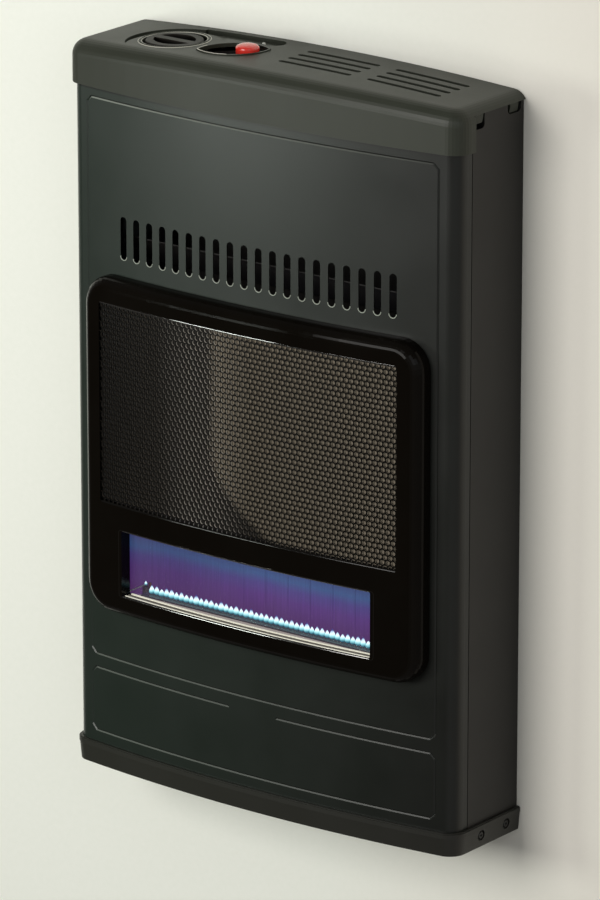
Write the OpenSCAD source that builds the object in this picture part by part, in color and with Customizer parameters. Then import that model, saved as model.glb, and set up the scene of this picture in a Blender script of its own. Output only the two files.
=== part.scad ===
// Wall mounted gas heater: a slim steel cabinet with a bowed front, a moulded
// cap with the controls, a gloss bezel round a perforated grille and a burner
// window, and the gas train, burner and firebox behind them.
// X runs to the right, Y into the wall and Z up; the origin is in the wall
// plane, in the middle of the four wall screws.

/* [Cabinet] */
// Width over the side panels
body_w = 434; // [400:2:480]
// Depth of the side panels, from the wall to the seam
side_d = 75; // [70:1:80]
// Depth from the wall to where the bowed front would meet the sides
shoulder_d = 95; // [92:1:110]
// How far the middle of the front stands out from there
bow_out = 15.5; // [10:0.5:20]
// Radius of the two upright front corners
corner_r = 14; // [10:1:16]
// Height of the front panel that shows between tray and cap
panel_h = 627; // [610:1:680]
// Thickness of the sheet steel
sheet = 1; // [0.8:0.1:1.2]
// Seam between front panel and side panels
seam = 1; // [0.6:0.1:1.6]
// Gap between pieces that slip together
slip = 0.3; // [0.2:0.05:0.4]

/* [Cap and tray] */
// Thickness of the mouldings
wall = 2.5; // [2:0.1:3]
// How far the cap stands out past the cabinet
cap_over = 4; // [3.5:0.5:6]
// Height of the cap's front skirt, up to the top of its crown
cap_h = 46; // [44:1:60]
// Height of the cap's rim along the sides, where it has no skirt
cap_rim_h = 14; // [12:0.5:18]
// Rise of the crown in the middle of the cap
crown = 7; // [4:0.5:10]
// Radius of the cap's top edges
cap_edge_r = 14; // [8:1:16]
// Height of the base tray
tray_h = 22; // [20:1:28]
// How far the tray's lip stands out past the cabinet
tray_over = 4; // [3.5:0.5:6]
// How much the tray's wall leans in, from its lip down
tray_lean = 2; // [1:0.5:3]

/* [Beads and slots] */
// Distance from the side panel to the upright beads
bead_in = 20; // [19:1:27]
// Radius of the beads' section
bead_r = 1.6; // [1.2:0.1:2]
// Depth of the beads
bead_depth = 0.7; // [0.4:0.1:0.8]
// Height of the lower bead frame's bottom line over the tray
low_bead_z = 11; // [9:1:20]
// Height of the lower bead frame
low_bead_h = 62; // [50:1:66]
// Width of the gap in the lower frame's top line
bead_gap = 54; // [30:1:90]
// Distance between the two bead frames
bead_step = 13.5; // [10:0.5:15]
// Distance from the upper frame's top line to the cap
bead_top = 10; // [8:1:16]
// Number of upright slots in the front panel
slot_n = 20; // [12:1:20]
// Distance from slot to slot
slot_pitch = 16; // [14:0.5:17]
// Width of a slot
slot_w = 7.6; // [5:0.2:9]
// Length of a slot
slot_l = 40.5; // [30:0.5:50]
// Distance from the bezel's top edge to the middle of the slots
slot_up = 35.5; // [34:0.5:48]

/* [Bezel, grille and window] */
// Width of the front panel at each side of the bezel
bezel_side = 26.5; // [25:0.5:32]
// Height of the bezel
bezel_h = 319; // [310:1:330]
// Height of the bezel's bottom edge over the tray
bezel_up = 137; // [130:1:142]
// How far the bezel stands out from the front panel
bezel_out = 18; // [15:0.5:20]
// Radius of the bezel's corners
bezel_corner_r = 28; // [20:1:34]
// Radius of the bezel's rounded rim
bezel_edge_r = 11; // [8:0.5:12]
// Thickness of the bezel
bezel_t = 3; // [2.5:0.1:3.5]
// Width of the bezel at each side of the grille
grille_side = 22; // [20.5:0.5:30]
// Height of the bezel over the grille
grille_top = 22; // [21:0.5:32]
// Height of the grille opening's bottom edge over the bezel's
grille_up = 106; // [104:1:110]
// Distance from hole to hole in the grille
hole_pitch = 11; // [10:0.5:16]
// Radius of a grille hole
hole_r = 3.9; // [3:0.1:4.2]
// Thickness of the grille
grille_t = 0.8; // [0.6:0.1:1]
// How far the grille lies behind the bezel's face
grille_in = 1.2; // [1:0.1:1.5]
// Width of the bezel at each side of the window
window_side = 48.5; // [46:0.5:60]
// Height of the window
window_h = 65; // [56:1:68]
// Height of the window's bottom edge over the bezel's
window_up = 19.5; // [17:0.5:22]
// Depth of the window's inner walls
window_d = 12; // [9:0.5:13]
// Thickness of the window's sheet
glass_t = 1; // [0.8:0.1:1.4]

/* [Controls] */
// Distance from the middle of the cabinet to the knob
knob_x = 129; // [124:1:134]
// Distance from the wall to the knob and the button
knob_y = 56; // [52:1:58]
// Diameter of the knob
knob_d = 53; // [48:1:56]
// Height of the knob
knob_h = 13; // [11:0.5:14]
// Gap round the knob
knob_gap = 3.5; // [2.5:0.5:4]
// Depth of the knob's finger recesses
grip_depth = 6; // [4:0.5:7]
// Width of the bar between them
grip_bar = 8.4; // [7:0.2:11]
// How far the knob pushes in
knob_travel = 4; // [2:0.5:5]
// Distance from the middle of the cabinet to the igniter button
button_x = 46; // [44:1:50]
// Diameter of the igniter button
button_d = 21.5; // [18:0.5:22]
// How far the button stands up from the cap
button_up = 7; // [6:0.5:8]
// How far the button pushes in
button_travel = 6; // [4:0.5:7]
// Length of the pointed opening round the button
lens_l = 63; // [60:1:66]
// Width of that opening
lens_w = 43; // [36:1:44]
// Turn of that opening in plan
lens_turn = 33; // [28:1:38]
// Radial clearance of the stems that run in bores
running = 0.05; // [0.03:0.01:0.08]

/* [Louvres] */
// Number of slots in a louvre group
louvre_n = 4; // [2:1:4]
// Distance from slot to slot
louvre_pitch = 14; // [12:0.5:14.5]
// Length of a slot
louvre_l = 80; // [60:1:80]
// Width of a slot
louvre_w = 5.5; // [4:0.1:7]
// Gap between the two groups
louvre_gap = 18; // [14:1:30]
// Distance from the middle of the cabinet to the first group's near end
louvre_x = -2; // [-2:1:2]
// Distance from the wall to the middle of the groups
louvre_y = 46; // [44:1:52]

/* [Wall fixing] */
// Distance between the wall screws, across
wall_screw_x = 300; // [240:2:310]
// Distance between the wall screws, up
wall_screw_z = 540; // [480:2:550]
// Height of the lower wall screws over the tray's underside
wall_screw_up = 70; // [60:1:80]
// Radius of the wall screw holes
wall_screw_r = 3.2; // [2.5:0.1:4]

/* [Firebox and burner] */
// Room between the inside of the side panels and the firebox
box_side = 47; // [44:0.5:52]
// Distance from the wall to the firebox's back
box_back = 22; // [18:1:26]
// How far the firebox's front lies ahead of the bow's shoulders
box_out = 1; // [0:0.5:2]
// Height of the firebox's bottom over the tray's underside
box_z = 122; // [118:1:126]
// Height of the firebox
box_h = 352; // [330:1:360]
// Room between the firebox's outside and the burner's ends
burner_in = 17; // [16:0.5:22]
// Width of the burner
burner_w = 22; // [20:1:24]
// Height of the burner
burner_h = 24; // [20:1:26]
// Distance from the firebox's front to the burner's middle
burner_back = 18; // [17:0.5:20]
// Height of the burner's top over the tray's underside
burner_z = 169; // [166:1:170]
// Least distance from the burner's ends to its flame ports
port_end = 6.8; // [6.5:0.1:12]
// Distance between the ports
port_pitch = 5.8; // [5:0.1:6]
// Diameter of the gas pipe
pipe_d = 8; // [6:0.5:10]
// Distance from the inside of the side panel to the upright gas pipe
pipe_in = 16; // [14:0.5:17]
// Radius of the gas pipe's bends
bend_r = 12; // [10:1:12]
// Diameter of the inlet's outside thread
inlet_d = 20.96; // [16:0.01:26.4]
// Length of the inlet's thread
inlet_l = 15; // [12:0.5:16]
// Distance from the wall to the inlet
inlet_y = 34; // [30:1:38]

/* [Hidden] */

// The bowed front: radius, axis and the corners that meet it
half_w = body_w / 2;
bow_r = (half_w * half_w + bow_out * bow_out) / (2 * bow_out);
bow_y = bow_r - shoulder_d - bow_out;
corner_x = half_w - corner_r;
corner_y = bow_y - sqrt(pow(bow_r - corner_r, 2) - pow(corner_x, 2));
corner_turn = atan2(corner_y - bow_y, corner_x);
BOW_FN = 720;

// Heights over the tray's underside
cap_z = tray_h + panel_h;
top_z = cap_z + cap_h;
rim_z = top_z - crown - cap_rim_h + cap_edge_r / 2;
mount_z = wall_screw_up + wall_screw_z / 2;
bezel_z = tray_h + bezel_up;
grille_z = bezel_z + grille_up;
window_z = bezel_z + window_up;
low_z = tray_h + low_bead_z;
crown_r = (half_w * half_w + crown * crown) / (2 * crown);
inner_w = half_w - sheet;

// Sizes across that follow the cabinet's width
bead_x = half_w - bead_in;
bezel_w = body_w - 2 * bezel_side;
grille_w = bezel_w - 2 * grille_side;
grille_h = bezel_h - grille_up - grille_top;
window_w = bezel_w - 2 * window_side;
box_w = 2 * (inner_w - box_side);
burner_l = box_w - 2 * burner_in;
port_n = floor((burner_l - 2 * port_end) / port_pitch);
pipe_x = inner_w - pipe_in;

// Depths that follow the bow's shoulders
box_front = shoulder_d + box_out;
burner_y = box_front - burner_back;

// Puts a piece that is drawn from the tray's underside up into the row's frame
module from_tray() { translate([0, 0, -mount_z]) children(); }

// Both sides of the cabinet
module both_sides() { for (s = [0, 1]) mirror([s, 0, 0]) children(); }

// Distance from the wall of the bowed face at a place across, a step outwards
function face_y(x, out = 0) = bow_y - sqrt(pow(bow_r + out, 2) - x * x);

// Height of the crowned cap at a place across
function crown_z(x) = top_z - crown_r + sqrt(crown_r * crown_r - x * x);

// Turns a profile of [step outwards, height] round the bow's axis
module bow(w) {
  half = asin(w / 2 / bow_r);
  translate([0, bow_y]) rotate(-90 - half)
    rotate_extrude(angle = 2 * half, $fn = BOW_FN) translate([bow_r, 0]) children();
}

// Plan of the cabinet, grown outwards
module plan(grow) {
  tangent_x = (bow_r + grow) * cos(corner_turn);
  deep = shoulder_d + bow_out + grow + wall;
  intersection() {
    translate([0, bow_y]) circle(bow_r + grow, $fn = BOW_FN);
    translate([-tangent_x, -deep]) square([2 * tangent_x, deep]);
  }
  for (s = [-1, 1]) translate([s * corner_x, corner_y]) circle(corner_r + grow, $fn = 64);
  translate([-half_w - grow, corner_y]) square([2 * (half_w + grow), -corner_y]);
}

// Upright rounded rectangle, through the front
module through(w, h, r, y0, y1) {
  translate([0, y1, 0]) rotate([90, 0, 0]) linear_extrude(y1 - y0) rounded(w, h, r);
}

// Rounded rectangle that stands on the X axis
module rounded(w, h, r) {
  translate([-w / 2 + r, 0]) square([w - 2 * r, h]);
  translate([-w / 2, r]) square([w, h - 2 * r]);
  for (x = [-1, 1], y = [r, h - r]) translate([x * (w / 2 - r), y]) circle(r, $fn = 48);
}

// Self-tapping screw along X: pan head outwards, shank inwards
screw_r = 1.5;
screw_head_r = 4;
screw_head_h = 1.6;
screw_l = 8;
module screw() {
  rotate([0, 90, 0]) {
    difference() {
      cylinder(screw_head_h, screw_head_r, screw_head_r * 0.75, $fn = 32);
      for (a = [0, 90]) rotate(a) translate([-screw_r, -0.4, screw_head_h / 2])
        cube([2 * screw_r, 0.8, screw_head_h]);
    }
    translate([0, 0, -screw_l]) cylinder(screw_l, screw_r, screw_r, $fn = 24);
  }
}

// How far the panels reach into the tray and under the cap
tuck = 6;
panel_z0 = tray_h - tuck;
panel_z1 = cap_z + tuck / 2;
side_z1 = rim_z - slip;
flange_w = 8;
seam_y = side_d + seam;

// A frame on the bowed face: local -Y points outwards
module at_face(x, z) {
  translate([x, face_y(x), z]) rotate(asin(x / bow_r)) children();
}

// Slot along Y with round ends
module slot(w, l) {
  square([w, l - w], center = true);
  for (y = [-1, 1]) translate([0, y * (l - w) / 2]) circle(w / 2, $fn = 24);
}

// Round rod from point to point
module rod(a, b, r) {
  v = b - a;
  translate(a) rotate([0, acos(v.z / norm(v)), atan2(v.y, v.x)])
    cylinder(norm(v), r, r, $fn = 24);
}

// Loft through rings of points: a flat first ring, the sides, and a last ring
// whose two halves face each other and are joined by flat strips
module loft(rings) {
  n = len(rings[0]);
  last = (len(rings) - 1) * n;
  polyhedron(
    points = [for (ring = rings) each ring],
    faces = concat([[for (i = [0 : n - 1]) i]],
      [for (j = [0 : n : last - 1], i = [0 : n - 1]) [j + i, j + n + i, j + n + (i + 1) % n]],
      [for (j = [0 : n : last - 1], i = [0 : n - 1]) [j + i, j + n + (i + 1) % n, j + (i + 1) % n]],
      [for (i = [0 : n / 2 - 2]) [last + i, last + n - 1 - i, last + n - 2 - i, last + i + 1]]));
}
ROUND_N = 8;

// Section of a pressed bead: a vee that opens outwards
module bead_section() {
  polygon([[-bead_depth, 0], [bead_depth / 2, -1.5 * bead_r / 2 - 0.6],
    [bead_depth / 2, 1.5 * bead_r / 2 + 0.6]]);
}

// Straight bead on the bowed face, leaning in the face by an angle
module bead_bar(x, z, l, lean) {
  at_face(x, z) rotate([0, lean, 0]) linear_extrude(l, center = true)
    rotate(-90) bead_section();
}

// Rectangle of pressed beads on the bowed face, with cut corners
bead_corner = 5;
module bead_frame(z0, h) {
  line_x = bead_x - bead_corner;
  for (z = [z0, z0 + h]) bow(2 * line_x) translate([0, z]) bead_section();
  for (s = [-1, 1]) {
    bead_bar(s * bead_x, z0 + h / 2, h - 2 * bead_corner, 0);
    for (up = [0, 1]) bead_bar(s * (bead_x - bead_corner / 2),
      z0 + up * h + (1 - 2 * up) * bead_corner / 2, bead_corner * sqrt(2) + bead_depth,
      s * (1 - 2 * up) * 45);
  }
}

// Bowed steel front with its slots, its beads and the opening behind the bezel
bezel_land = 20;
post_x = bezel_w / 2 - bezel_edge_r - 1;
post_z = [bezel_z + bezel_corner_r, bezel_z + bezel_h - bezel_corner_r];
post_r = 2.5;
module front_panel() {
  color("#3b4440") from_tray() difference() {
    union() {
      translate([0, 0, panel_z0]) difference() {
        linear_extrude(panel_z1 - panel_z0) plan(0);
        translate([0, 0, -1]) linear_extrude(panel_h + 2 * tuck) plan(-sheet);
        translate([-body_w, -seam_y, -1]) cube([2 * body_w, 2 * side_d, panel_h + 2 * tuck]);
      }
      both_sides() translate([inner_w - flange_w, -seam_y - sheet, panel_z0])
        cube([flange_w + sheet / 2, sheet, panel_z1 - panel_z0]);
    }
    difference() {
      bead_frame(low_z, low_bead_h);
      translate([-bead_gap / 2, -shoulder_d - 2 * bow_out, low_z + low_bead_h / 2])
        cube([bead_gap, 2 * bow_out, low_bead_h]);
    }
    bead_frame(low_z + low_bead_h + bead_step,
      cap_z - bead_top - low_z - low_bead_h - bead_step);
    for (i = [0 : slot_n - 1])
      translate([(i - (slot_n - 1) / 2) * slot_pitch, 0, bezel_z + bezel_h + slot_up])
      rotate([90, 0, 0]) linear_extrude(2 * shoulder_d) slot(slot_w, slot_l);
    translate([0, 0, bezel_z + bezel_land / 2])
      through(bezel_w - 2 * bezel_land, bezel_h - bezel_land, bezel_corner_r / 2,
        -2 * shoulder_d, -side_d - seam);
    for (x = [-post_x, post_x], z = post_z) at_face(x, z) rotate([90, 0, 0])
      cylinder(4 * sheet, post_r + slip, post_r + slip, center = true, $fn = 24);
  }
}

// Folded steel side with the two pockets for the cap's hooks
hook_w = 12;
hook_y = [side_d - 9, 14];
pocket_h = [14, 10];
pocket_w = [hook_w + 4, hook_w + 8];
module side_panel() {
  difference() {
    union() {
      translate([inner_w, -side_d, panel_z0]) cube([sheet, side_d, side_z1 - panel_z0]);
      translate([inner_w - flange_w, -side_d, panel_z0])
        cube([flange_w + sheet / 2, sheet, side_z1 - panel_z0]);
    }
    for (i = [0, 1]) translate([inner_w - sheet, -hook_y[i], rim_z]) rotate([90, 0, 90])
      linear_extrude(3 * sheet) {
        translate([-pocket_w[i] / 2, -pocket_h[i] + pocket_w[i] / 4])
          square([pocket_w[i], pocket_h[i] + tuck / 3 - pocket_w[i] / 4]);
        for (y = [-1, 1]) translate([y * pocket_w[i] / 4, -pocket_h[i] + pocket_w[i] / 4])
          circle(pocket_w[i] / 4, $fn = 32);
        translate([-pocket_w[i] / 4, -pocket_h[i]]) square([pocket_w[i] / 2, pocket_h[i]]);
      }
    screw_holes();
  }
}
module right_side_panel() { color("#2a2b2a") from_tray() side_panel(); }
module left_side_panel() { color("#2a2b2a") from_tray() mirror([1, 0, 0]) side_panel(); }

// Holes for the tray's screws, through tray, side panel and back panel flange
tray_screw_y = [20, 58];
tray_screw_z = tray_h * 0.5;
module screw_holes() {
  for (y = tray_screw_y) translate([half_w - 3 * screw_l, -y, tray_screw_z])
    rotate([0, 90, 0]) cylinder(6 * screw_l, screw_r + slip, screw_r + slip, $fn = 24);
}

// Folded steel back with the wall screw holes, flanges and cooling louvres
back_z0 = wall + slip;
back_z1 = rim_z - slip;
back_flange = 26;
module back_panel() {
  back_x = inner_w - slip;
  color("#8b8f92") from_tray() difference() {
    union() {
      translate([-back_x, -sheet, back_z0]) cube([2 * back_x, sheet, back_z1 - back_z0]);
      both_sides() translate([back_x - sheet, -back_flange, back_z0])
        cube([sheet, back_flange, rim_z - pocket_h[1] - back_z0 - slip]);
      for (z = [back_z0, back_z1 - sheet]) translate([-back_x + flange_w, -flange_w, z])
        cube([2 * (back_x - flange_w), flange_w, sheet]);
      both_sides() translate([back_x - sheet, -tray_screw_y[1] - flange_w, back_z0])
        cube([sheet, tray_screw_y[1], panel_z0 - back_z0 + flange_w]);
    }
    for (x = [-1, 1], z = [-1, 1])
      translate([x * wall_screw_x / 2, -sheet / 2, mount_z + z * wall_screw_z / 2])
      rotate([90, 0, 0]) cylinder(3 * sheet, wall_screw_r, wall_screw_r, center = true, $fn = 32);
    both_sides() screw_holes();
    for (i = [-5 : 5], j = [0, 1])
      translate([i * 2 * slot_pitch, 0, back_z1 - 2 * slot_l - j * 2 * slot_l])
      rotate([90, 0, 0]) linear_extrude(3 * sheet, center = true) slot(slot_w / 2, slot_l);
  }
}

// Moulded tray: a leaning wall under a rounded lip, with air slots in its floor
lip_h = 5;
panel_rest = 3;
tray_slot_y = [38, 72];
tray_slot_l = 28;
module base_tray() {
  color("#211d1a") from_tray() difference() {
    union() {
      difference() {
        hull() {
          linear_extrude(wall) plan(tray_over - tray_lean);
          translate([0, 0, tray_h - lip_h]) linear_extrude(wall / 2) plan(tray_over - wall / 5);
        }
        translate([0, 0, wall]) linear_extrude(tray_h) plan(-panel_rest);
      }
      translate([0, 0, tray_h - lip_h]) linear_extrude(lip_h - 1) plan(tray_over);
      translate([0, 0, tray_h - lip_h]) linear_extrude(lip_h) plan(tray_over - 1);
    }
    translate([0, 0, panel_z0 - slip]) linear_extrude(tray_h) plan(slip);
    translate([0, 0, wall]) linear_extrude(tray_h) plan(-panel_rest);
    translate([-half_w - slip, -back_flange, wall]) cube([2 * half_w + 2 * slip, back_flange + 1, tray_h]);
    both_sides() translate([inner_w - panel_rest, -tray_screw_y[1] - flange_w - slip, wall])
      cube([panel_rest, tray_screw_y[1], tray_h]);
    translate([-half_w - tray_over, 0, -1]) cube([body_w + 2 * tray_over, 9, tray_h + 2]);
    for (i = [-8 : 8], y = tray_slot_y) translate([i * slot_pitch, -y, -1])
      linear_extrude(3 * wall) slot(slot_w / 2, tray_slot_l);
    translate([-pipe_x, -inlet_y, -1]) cylinder(3 * wall, inlet_d / 2 + 5, inlet_d / 2 + 5, $fn = 48);
    both_sides() screw_holes();
    both_sides() for (y = tray_screw_y)
      translate([half_w + tray_over - tray_lean - screw_head_h / 2, -y, tray_screw_z])
      rotate([0, 90, 0]) cylinder(4 * screw_head_h, screw_head_r + 1, screw_head_r + 1, $fn = 32);
  }
}

// Four screws that hold the tray to the side panels
module tray_screws() {
  color("#161616") from_tray() both_sides() for (y = tray_screw_y)
    translate([half_w + tray_over - tray_lean - screw_head_h / 2, -y, tray_screw_z]) screw();
}

// Front line of the cabinet's plan from left to right, grown outwards
BOW_N = 20;
function front_line(grow) = let (r = corner_r + grow, big = bow_r + grow, half = 90 + corner_turn)
  concat([for (i = [0 : ROUND_N]) let (a = corner_turn * i / ROUND_N)
      [-corner_x - r * cos(a), corner_y + r * sin(a)]],
    [for (i = [1 : BOW_N - 1]) let (a = half * (2 * i / BOW_N - 1))
      [big * sin(a), bow_y - big * cos(a)]],
    [for (i = [ROUND_N : -1 : 0]) let (a = corner_turn * i / ROUND_N)
      [corner_x + r * cos(a), corner_y + r * sin(a)]]);

// Outer form of the cap, drawn in by a step: plan, crown and one rounded edge
module cap_form(inset) {
  edge_r = cap_edge_r - inset;
  ring = function (grow, height) let (line = front_line(grow), m = len(line))
    concat([for (p = line) [p.x, p.y, height(p.x)]],
      [for (i = [m - 1 : -1 : 0]) [line[i].x, 0, height(line[i].x)]]);
  loft(concat([ring(cap_over - inset, function (x) cap_z - (inset > 0 ? 1 : 0))],
    [for (i = [0 : ROUND_N]) let (a = 90 * i / ROUND_N)
      ring(cap_over - inset - edge_r * (1 - cos(a)),
        function (x) crown_z(x) - inset - edge_r * (1 - sin(a)))]));
}

// Places over the crown: the knob's well, the button's pointed opening
well_r = knob_d / 2 + knob_gap;
knob_pos = [-knob_x, -knob_y];
button_pos = [-button_x, -knob_y];
lens_pos = button_pos - [14, 2.5];
lip_r = 1;
module lens(grow) {
  arc_r = (lens_l * lens_l + lens_w * lens_w) / (4 * lens_w) + grow;
  shift = arc_r - lens_w / 2 - grow;
  translate(lens_pos) rotate(lens_turn) intersection() {
    translate([0, shift]) circle(arc_r, $fn = 96);
    translate([0, -shift]) circle(arc_r, $fn = 96);
  }
}

// Comma shaped recess: a crescent behind the knob that runs on to the right
comma_depth = 3.5;
comma_w = 20;
comma_back = 8;
comma_wall = 2;
module comma(grow) {
  outer_r = well_r + 15;
  end = button_pos.x + 12;
  difference() {
    union() {
      translate(knob_pos) circle(outer_r + grow, $fn = 96);
      translate([knob_pos.x, -comma_back - comma_w - grow])
        square([end - knob_pos.x - comma_w / 2, comma_w + 2 * grow]);
      translate([end - comma_w / 2, -comma_back - comma_w / 2]) circle(comma_w / 2 + grow, $fn = 48);
    }
    translate(knob_pos + [9, -12]) circle(outer_r - grow, $fn = 96);
    translate(knob_pos) circle(well_r + wall + slip + comma_wall - grow, $fn = 96);
    translate([-half_w, grow - comma_back]) square([body_w, comma_back + 1]);
  }
}

// The comma's outline over the crown, lowered by a step
module over_comma(grow, down) {
  difference() {
    linear_extrude(2 * top_z) comma(grow);
    translate([0, shoulder_d, top_z - down - crown_r]) rotate([90, 0, 0])
      cylinder(3 * shoulder_d, crown_r, crown_r, $fn = 2 * BOW_FN);
  }
}

// One louvre group, its near end at x
module louvres(x) {
  for (i = [0 : louvre_n - 1])
    translate([x + louvre_l / 2, -louvre_y + (i - (louvre_n - 1) / 2) * louvre_pitch])
    rotate(90) slot(louvre_w, louvre_l);
}

// Moulded cap: crowned shell with the skirt in front, hooks down both sides,
// the knob's well, the button's opening, the comma recess and the louvres
boss_r = 4;
plate_x = knob_x + well_r + 5;
plate_z = crown_z(plate_x + 2 * boss_r) - wall - slip;
flat_z = plate_z - 2 * wall;
screw_in = 3;
screw_back = 20;
plate_screw = [for (x = [-plate_x, 30 - button_x], y = [-screw_back, screw_in - shoulder_d]) [x, y]];
module top_cap() {
  color("#4a473f") from_tray() {
    difference() {
      cap_form(0);
      difference() {
        cap_form(wall);
        translate([-half_w, -wall, 0]) cube([body_w, 2 * wall, 2 * top_z]);
        over_comma(comma_wall, comma_depth + comma_wall);
      }
      translate([-body_w, -seam_y + slip, 0]) cube([2 * body_w, 2 * side_d, rim_z]);
      translate([0, 0, plate_z]) {
        translate(knob_pos) cylinder(cap_h, well_r, well_r, $fn = 96);
        linear_extrude(cap_h) lens(0);
        linear_extrude(cap_h) { louvres(louvre_x); louvres(louvre_x + louvre_l + louvre_gap); }
      }
      over_comma(0, comma_depth);
    }
    translate([knob_pos.x, knob_pos.y, crown_z(knob_x)])
      rotate([0, -asin(knob_x / crown_r), 0]) rotate_extrude($fn = 96)
      translate([well_r + 1.25 * lip_r, 0]) circle(lip_r, $fn = 16);
    intersection() {
      difference() {
        translate([0, 0, plate_z]) linear_extrude(cap_h) difference() { lens(2 * lip_r); lens(0); }
        translate([0, shoulder_d, top_z - wall - crown_r]) rotate([90, 0, 0])
          cylinder(3 * shoulder_d, crown_r, crown_r, $fn = 2 * BOW_FN);
      }
      translate([0, shoulder_d, top_z + lip_r - crown_r]) rotate([90, 0, 0])
        cylinder(3 * shoulder_d, crown_r, crown_r, $fn = 2 * BOW_FN);
    }
    for (p = plate_screw) translate([p.x, p.y, flat_z]) difference() {
      cylinder(crown_z(p.x) - flat_z - wall / 2, boss_r, boss_r, $fn = 32);
      translate([0, 0, -1]) cylinder(screw_l - wall + 1.4, screw_r + 0.05, screw_r + 0.05, $fn = 24);
    }
    both_sides() for (i = [0, 1]) hook(hook_y[i]);
  }
}

// Snap hook of the cap: a leg inside the side panel, its barb in the pocket
module hook(y) {
  leg_x = inner_w - slip - wall;
  low = rim_z - pocket_h[1] + 1;
  translate([leg_x, -y - hook_w / 2, low]) cube([wall, hook_w, side_z1 - low + 0.8 * wall]);
  translate([leg_x, -y + hook_w / 2, 0]) rotate([90, 0, 0]) linear_extrude(hook_w)
    polygon([[0, low], [wall, low], [wall + 1.2, rim_z - 3], [wall + 1.2, rim_z - 1], [0, rim_z - 1]]);
}

// Moulded insert under the cap: cups for knob and button, shelf for the igniter
knob_z = crown_z(knob_x) + 0.6 - knob_h;
cup_floor_z = knob_z - knob_travel - 1.6;
pocket_depth = 14;
pocket_floor_z = crown_z(button_x) - pocket_depth;
neck_r = 13;
nut_t = 2.4;
barrel_r = 9;
shelf_depth = 16;
shelf_z = pocket_floor_z - shelf_depth;
shelf_w = [28, 24];
button_top_z = crown_z(button_x) + button_up;
module control_plate() {
  plate_w = [plate_screw[0].x - 2 * boss_r, plate_screw[2].x + 2 * boss_r];
  color("#1d1c1a") from_tray() difference() {
    union() {
      translate([plate_w[0], plate_screw[1].y - 2, flat_z - wall])
        cube([plate_w[1] - plate_w[0], plate_screw[0].y - plate_screw[1].y + 8, wall]);
      translate([knob_pos.x, knob_pos.y, cup_floor_z - wall])
        cylinder(plate_z - cup_floor_z + wall, well_r + wall, well_r + wall, $fn = 96);
      translate([0, 0, pocket_floor_z - wall]) linear_extrude(plate_z - pocket_floor_z + wall)
        lens(wall);
      translate([button_pos.x - shelf_w.x / 2, button_pos.y - shelf_w.y / 2, shelf_z - wall])
        cube([shelf_w.x, shelf_w.y, pocket_floor_z - shelf_z]);
    }
    translate([knob_pos.x, knob_pos.y, cup_floor_z]) cylinder(cap_h, well_r, well_r, $fn = 96);
    translate([knob_pos.x, knob_pos.y, 0]) cylinder(top_z, neck_r + 0.1, neck_r + 0.1, $fn = 48);
    translate([0, 0, pocket_floor_z]) linear_extrude(cap_h) lens(0);
    translate([button_pos.x, button_pos.y, 0])
      cylinder(top_z, barrel_r + 0.1, barrel_r + 0.1, $fn = 48);
    translate([button_pos.x, button_pos.y, shelf_z])
      cylinder(cap_h, button_d / 2 + 0.5, button_d / 2 + 0.5, $fn = 64);
    translate([button_pos.x - shelf_w.x / 2 - 1, button_pos.y - shelf_w.y / 2 + 1, shelf_z])
      cube([shelf_w.x + 2, shelf_w.y - 2, pocket_floor_z - shelf_z - wall]);
    for (p = plate_screw) translate([p.x, p.y, flat_z - 2 * wall])
      cylinder(3 * wall, screw_r + 0.1, screw_r + 0.1, $fn = 24);
  }
}

// Four screws that hold the insert up against the cap's bosses
module control_screws() {
  color("#9a9a98") from_tray() for (p = plate_screw)
    translate([p.x, p.y, flat_z - wall]) rotate([0, 90, 0]) screw();
}

// Lower half of a rounded rectangle's outline from left to right, from its
// lower left corner at the origin, and its points' heights over the middle
EDGE_N = 12;
function low_line(w, r) = concat(
  [for (i = [0 : ROUND_N]) let (a = 90 * i / ROUND_N) [-w / 2 + r - r * cos(a), r - r * sin(a)]],
  [for (i = [1 : EDGE_N - 1]) [(w - 2 * r) * (i / EDGE_N - 0.5), 0]],
  [for (i = [ROUND_N : -1 : 0]) let (a = 90 * i / ROUND_N) [w / 2 - r + r * cos(a), r - r * sin(a)]]);

// Bulging frame form of the bezel, drawn in by a step
module bezel_form(inset) {
  edge_r = bezel_edge_r - inset;
  ring = function (step, depth) let (line = low_line(bezel_w - 2 * step, bezel_corner_r - step),
      m = len(line))
    concat([for (p = line) [p.x, depth(p.x), bezel_z + step + p.y]],
      [for (i = [m - 1 : -1 : 0]) [line[i].x, depth(line[i].x), bezel_z + bezel_h - step - line[i].y]]);
  loft(concat([ring(inset, function (x) inset - side_d)],
    [for (i = [0 : ROUND_N]) let (a = 90 * i / ROUND_N)
      ring(inset + edge_r * (1 - cos(a)),
        function (x) face_y(x, bezel_out - inset - edge_r * (1 - sin(a))))]));
}

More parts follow.
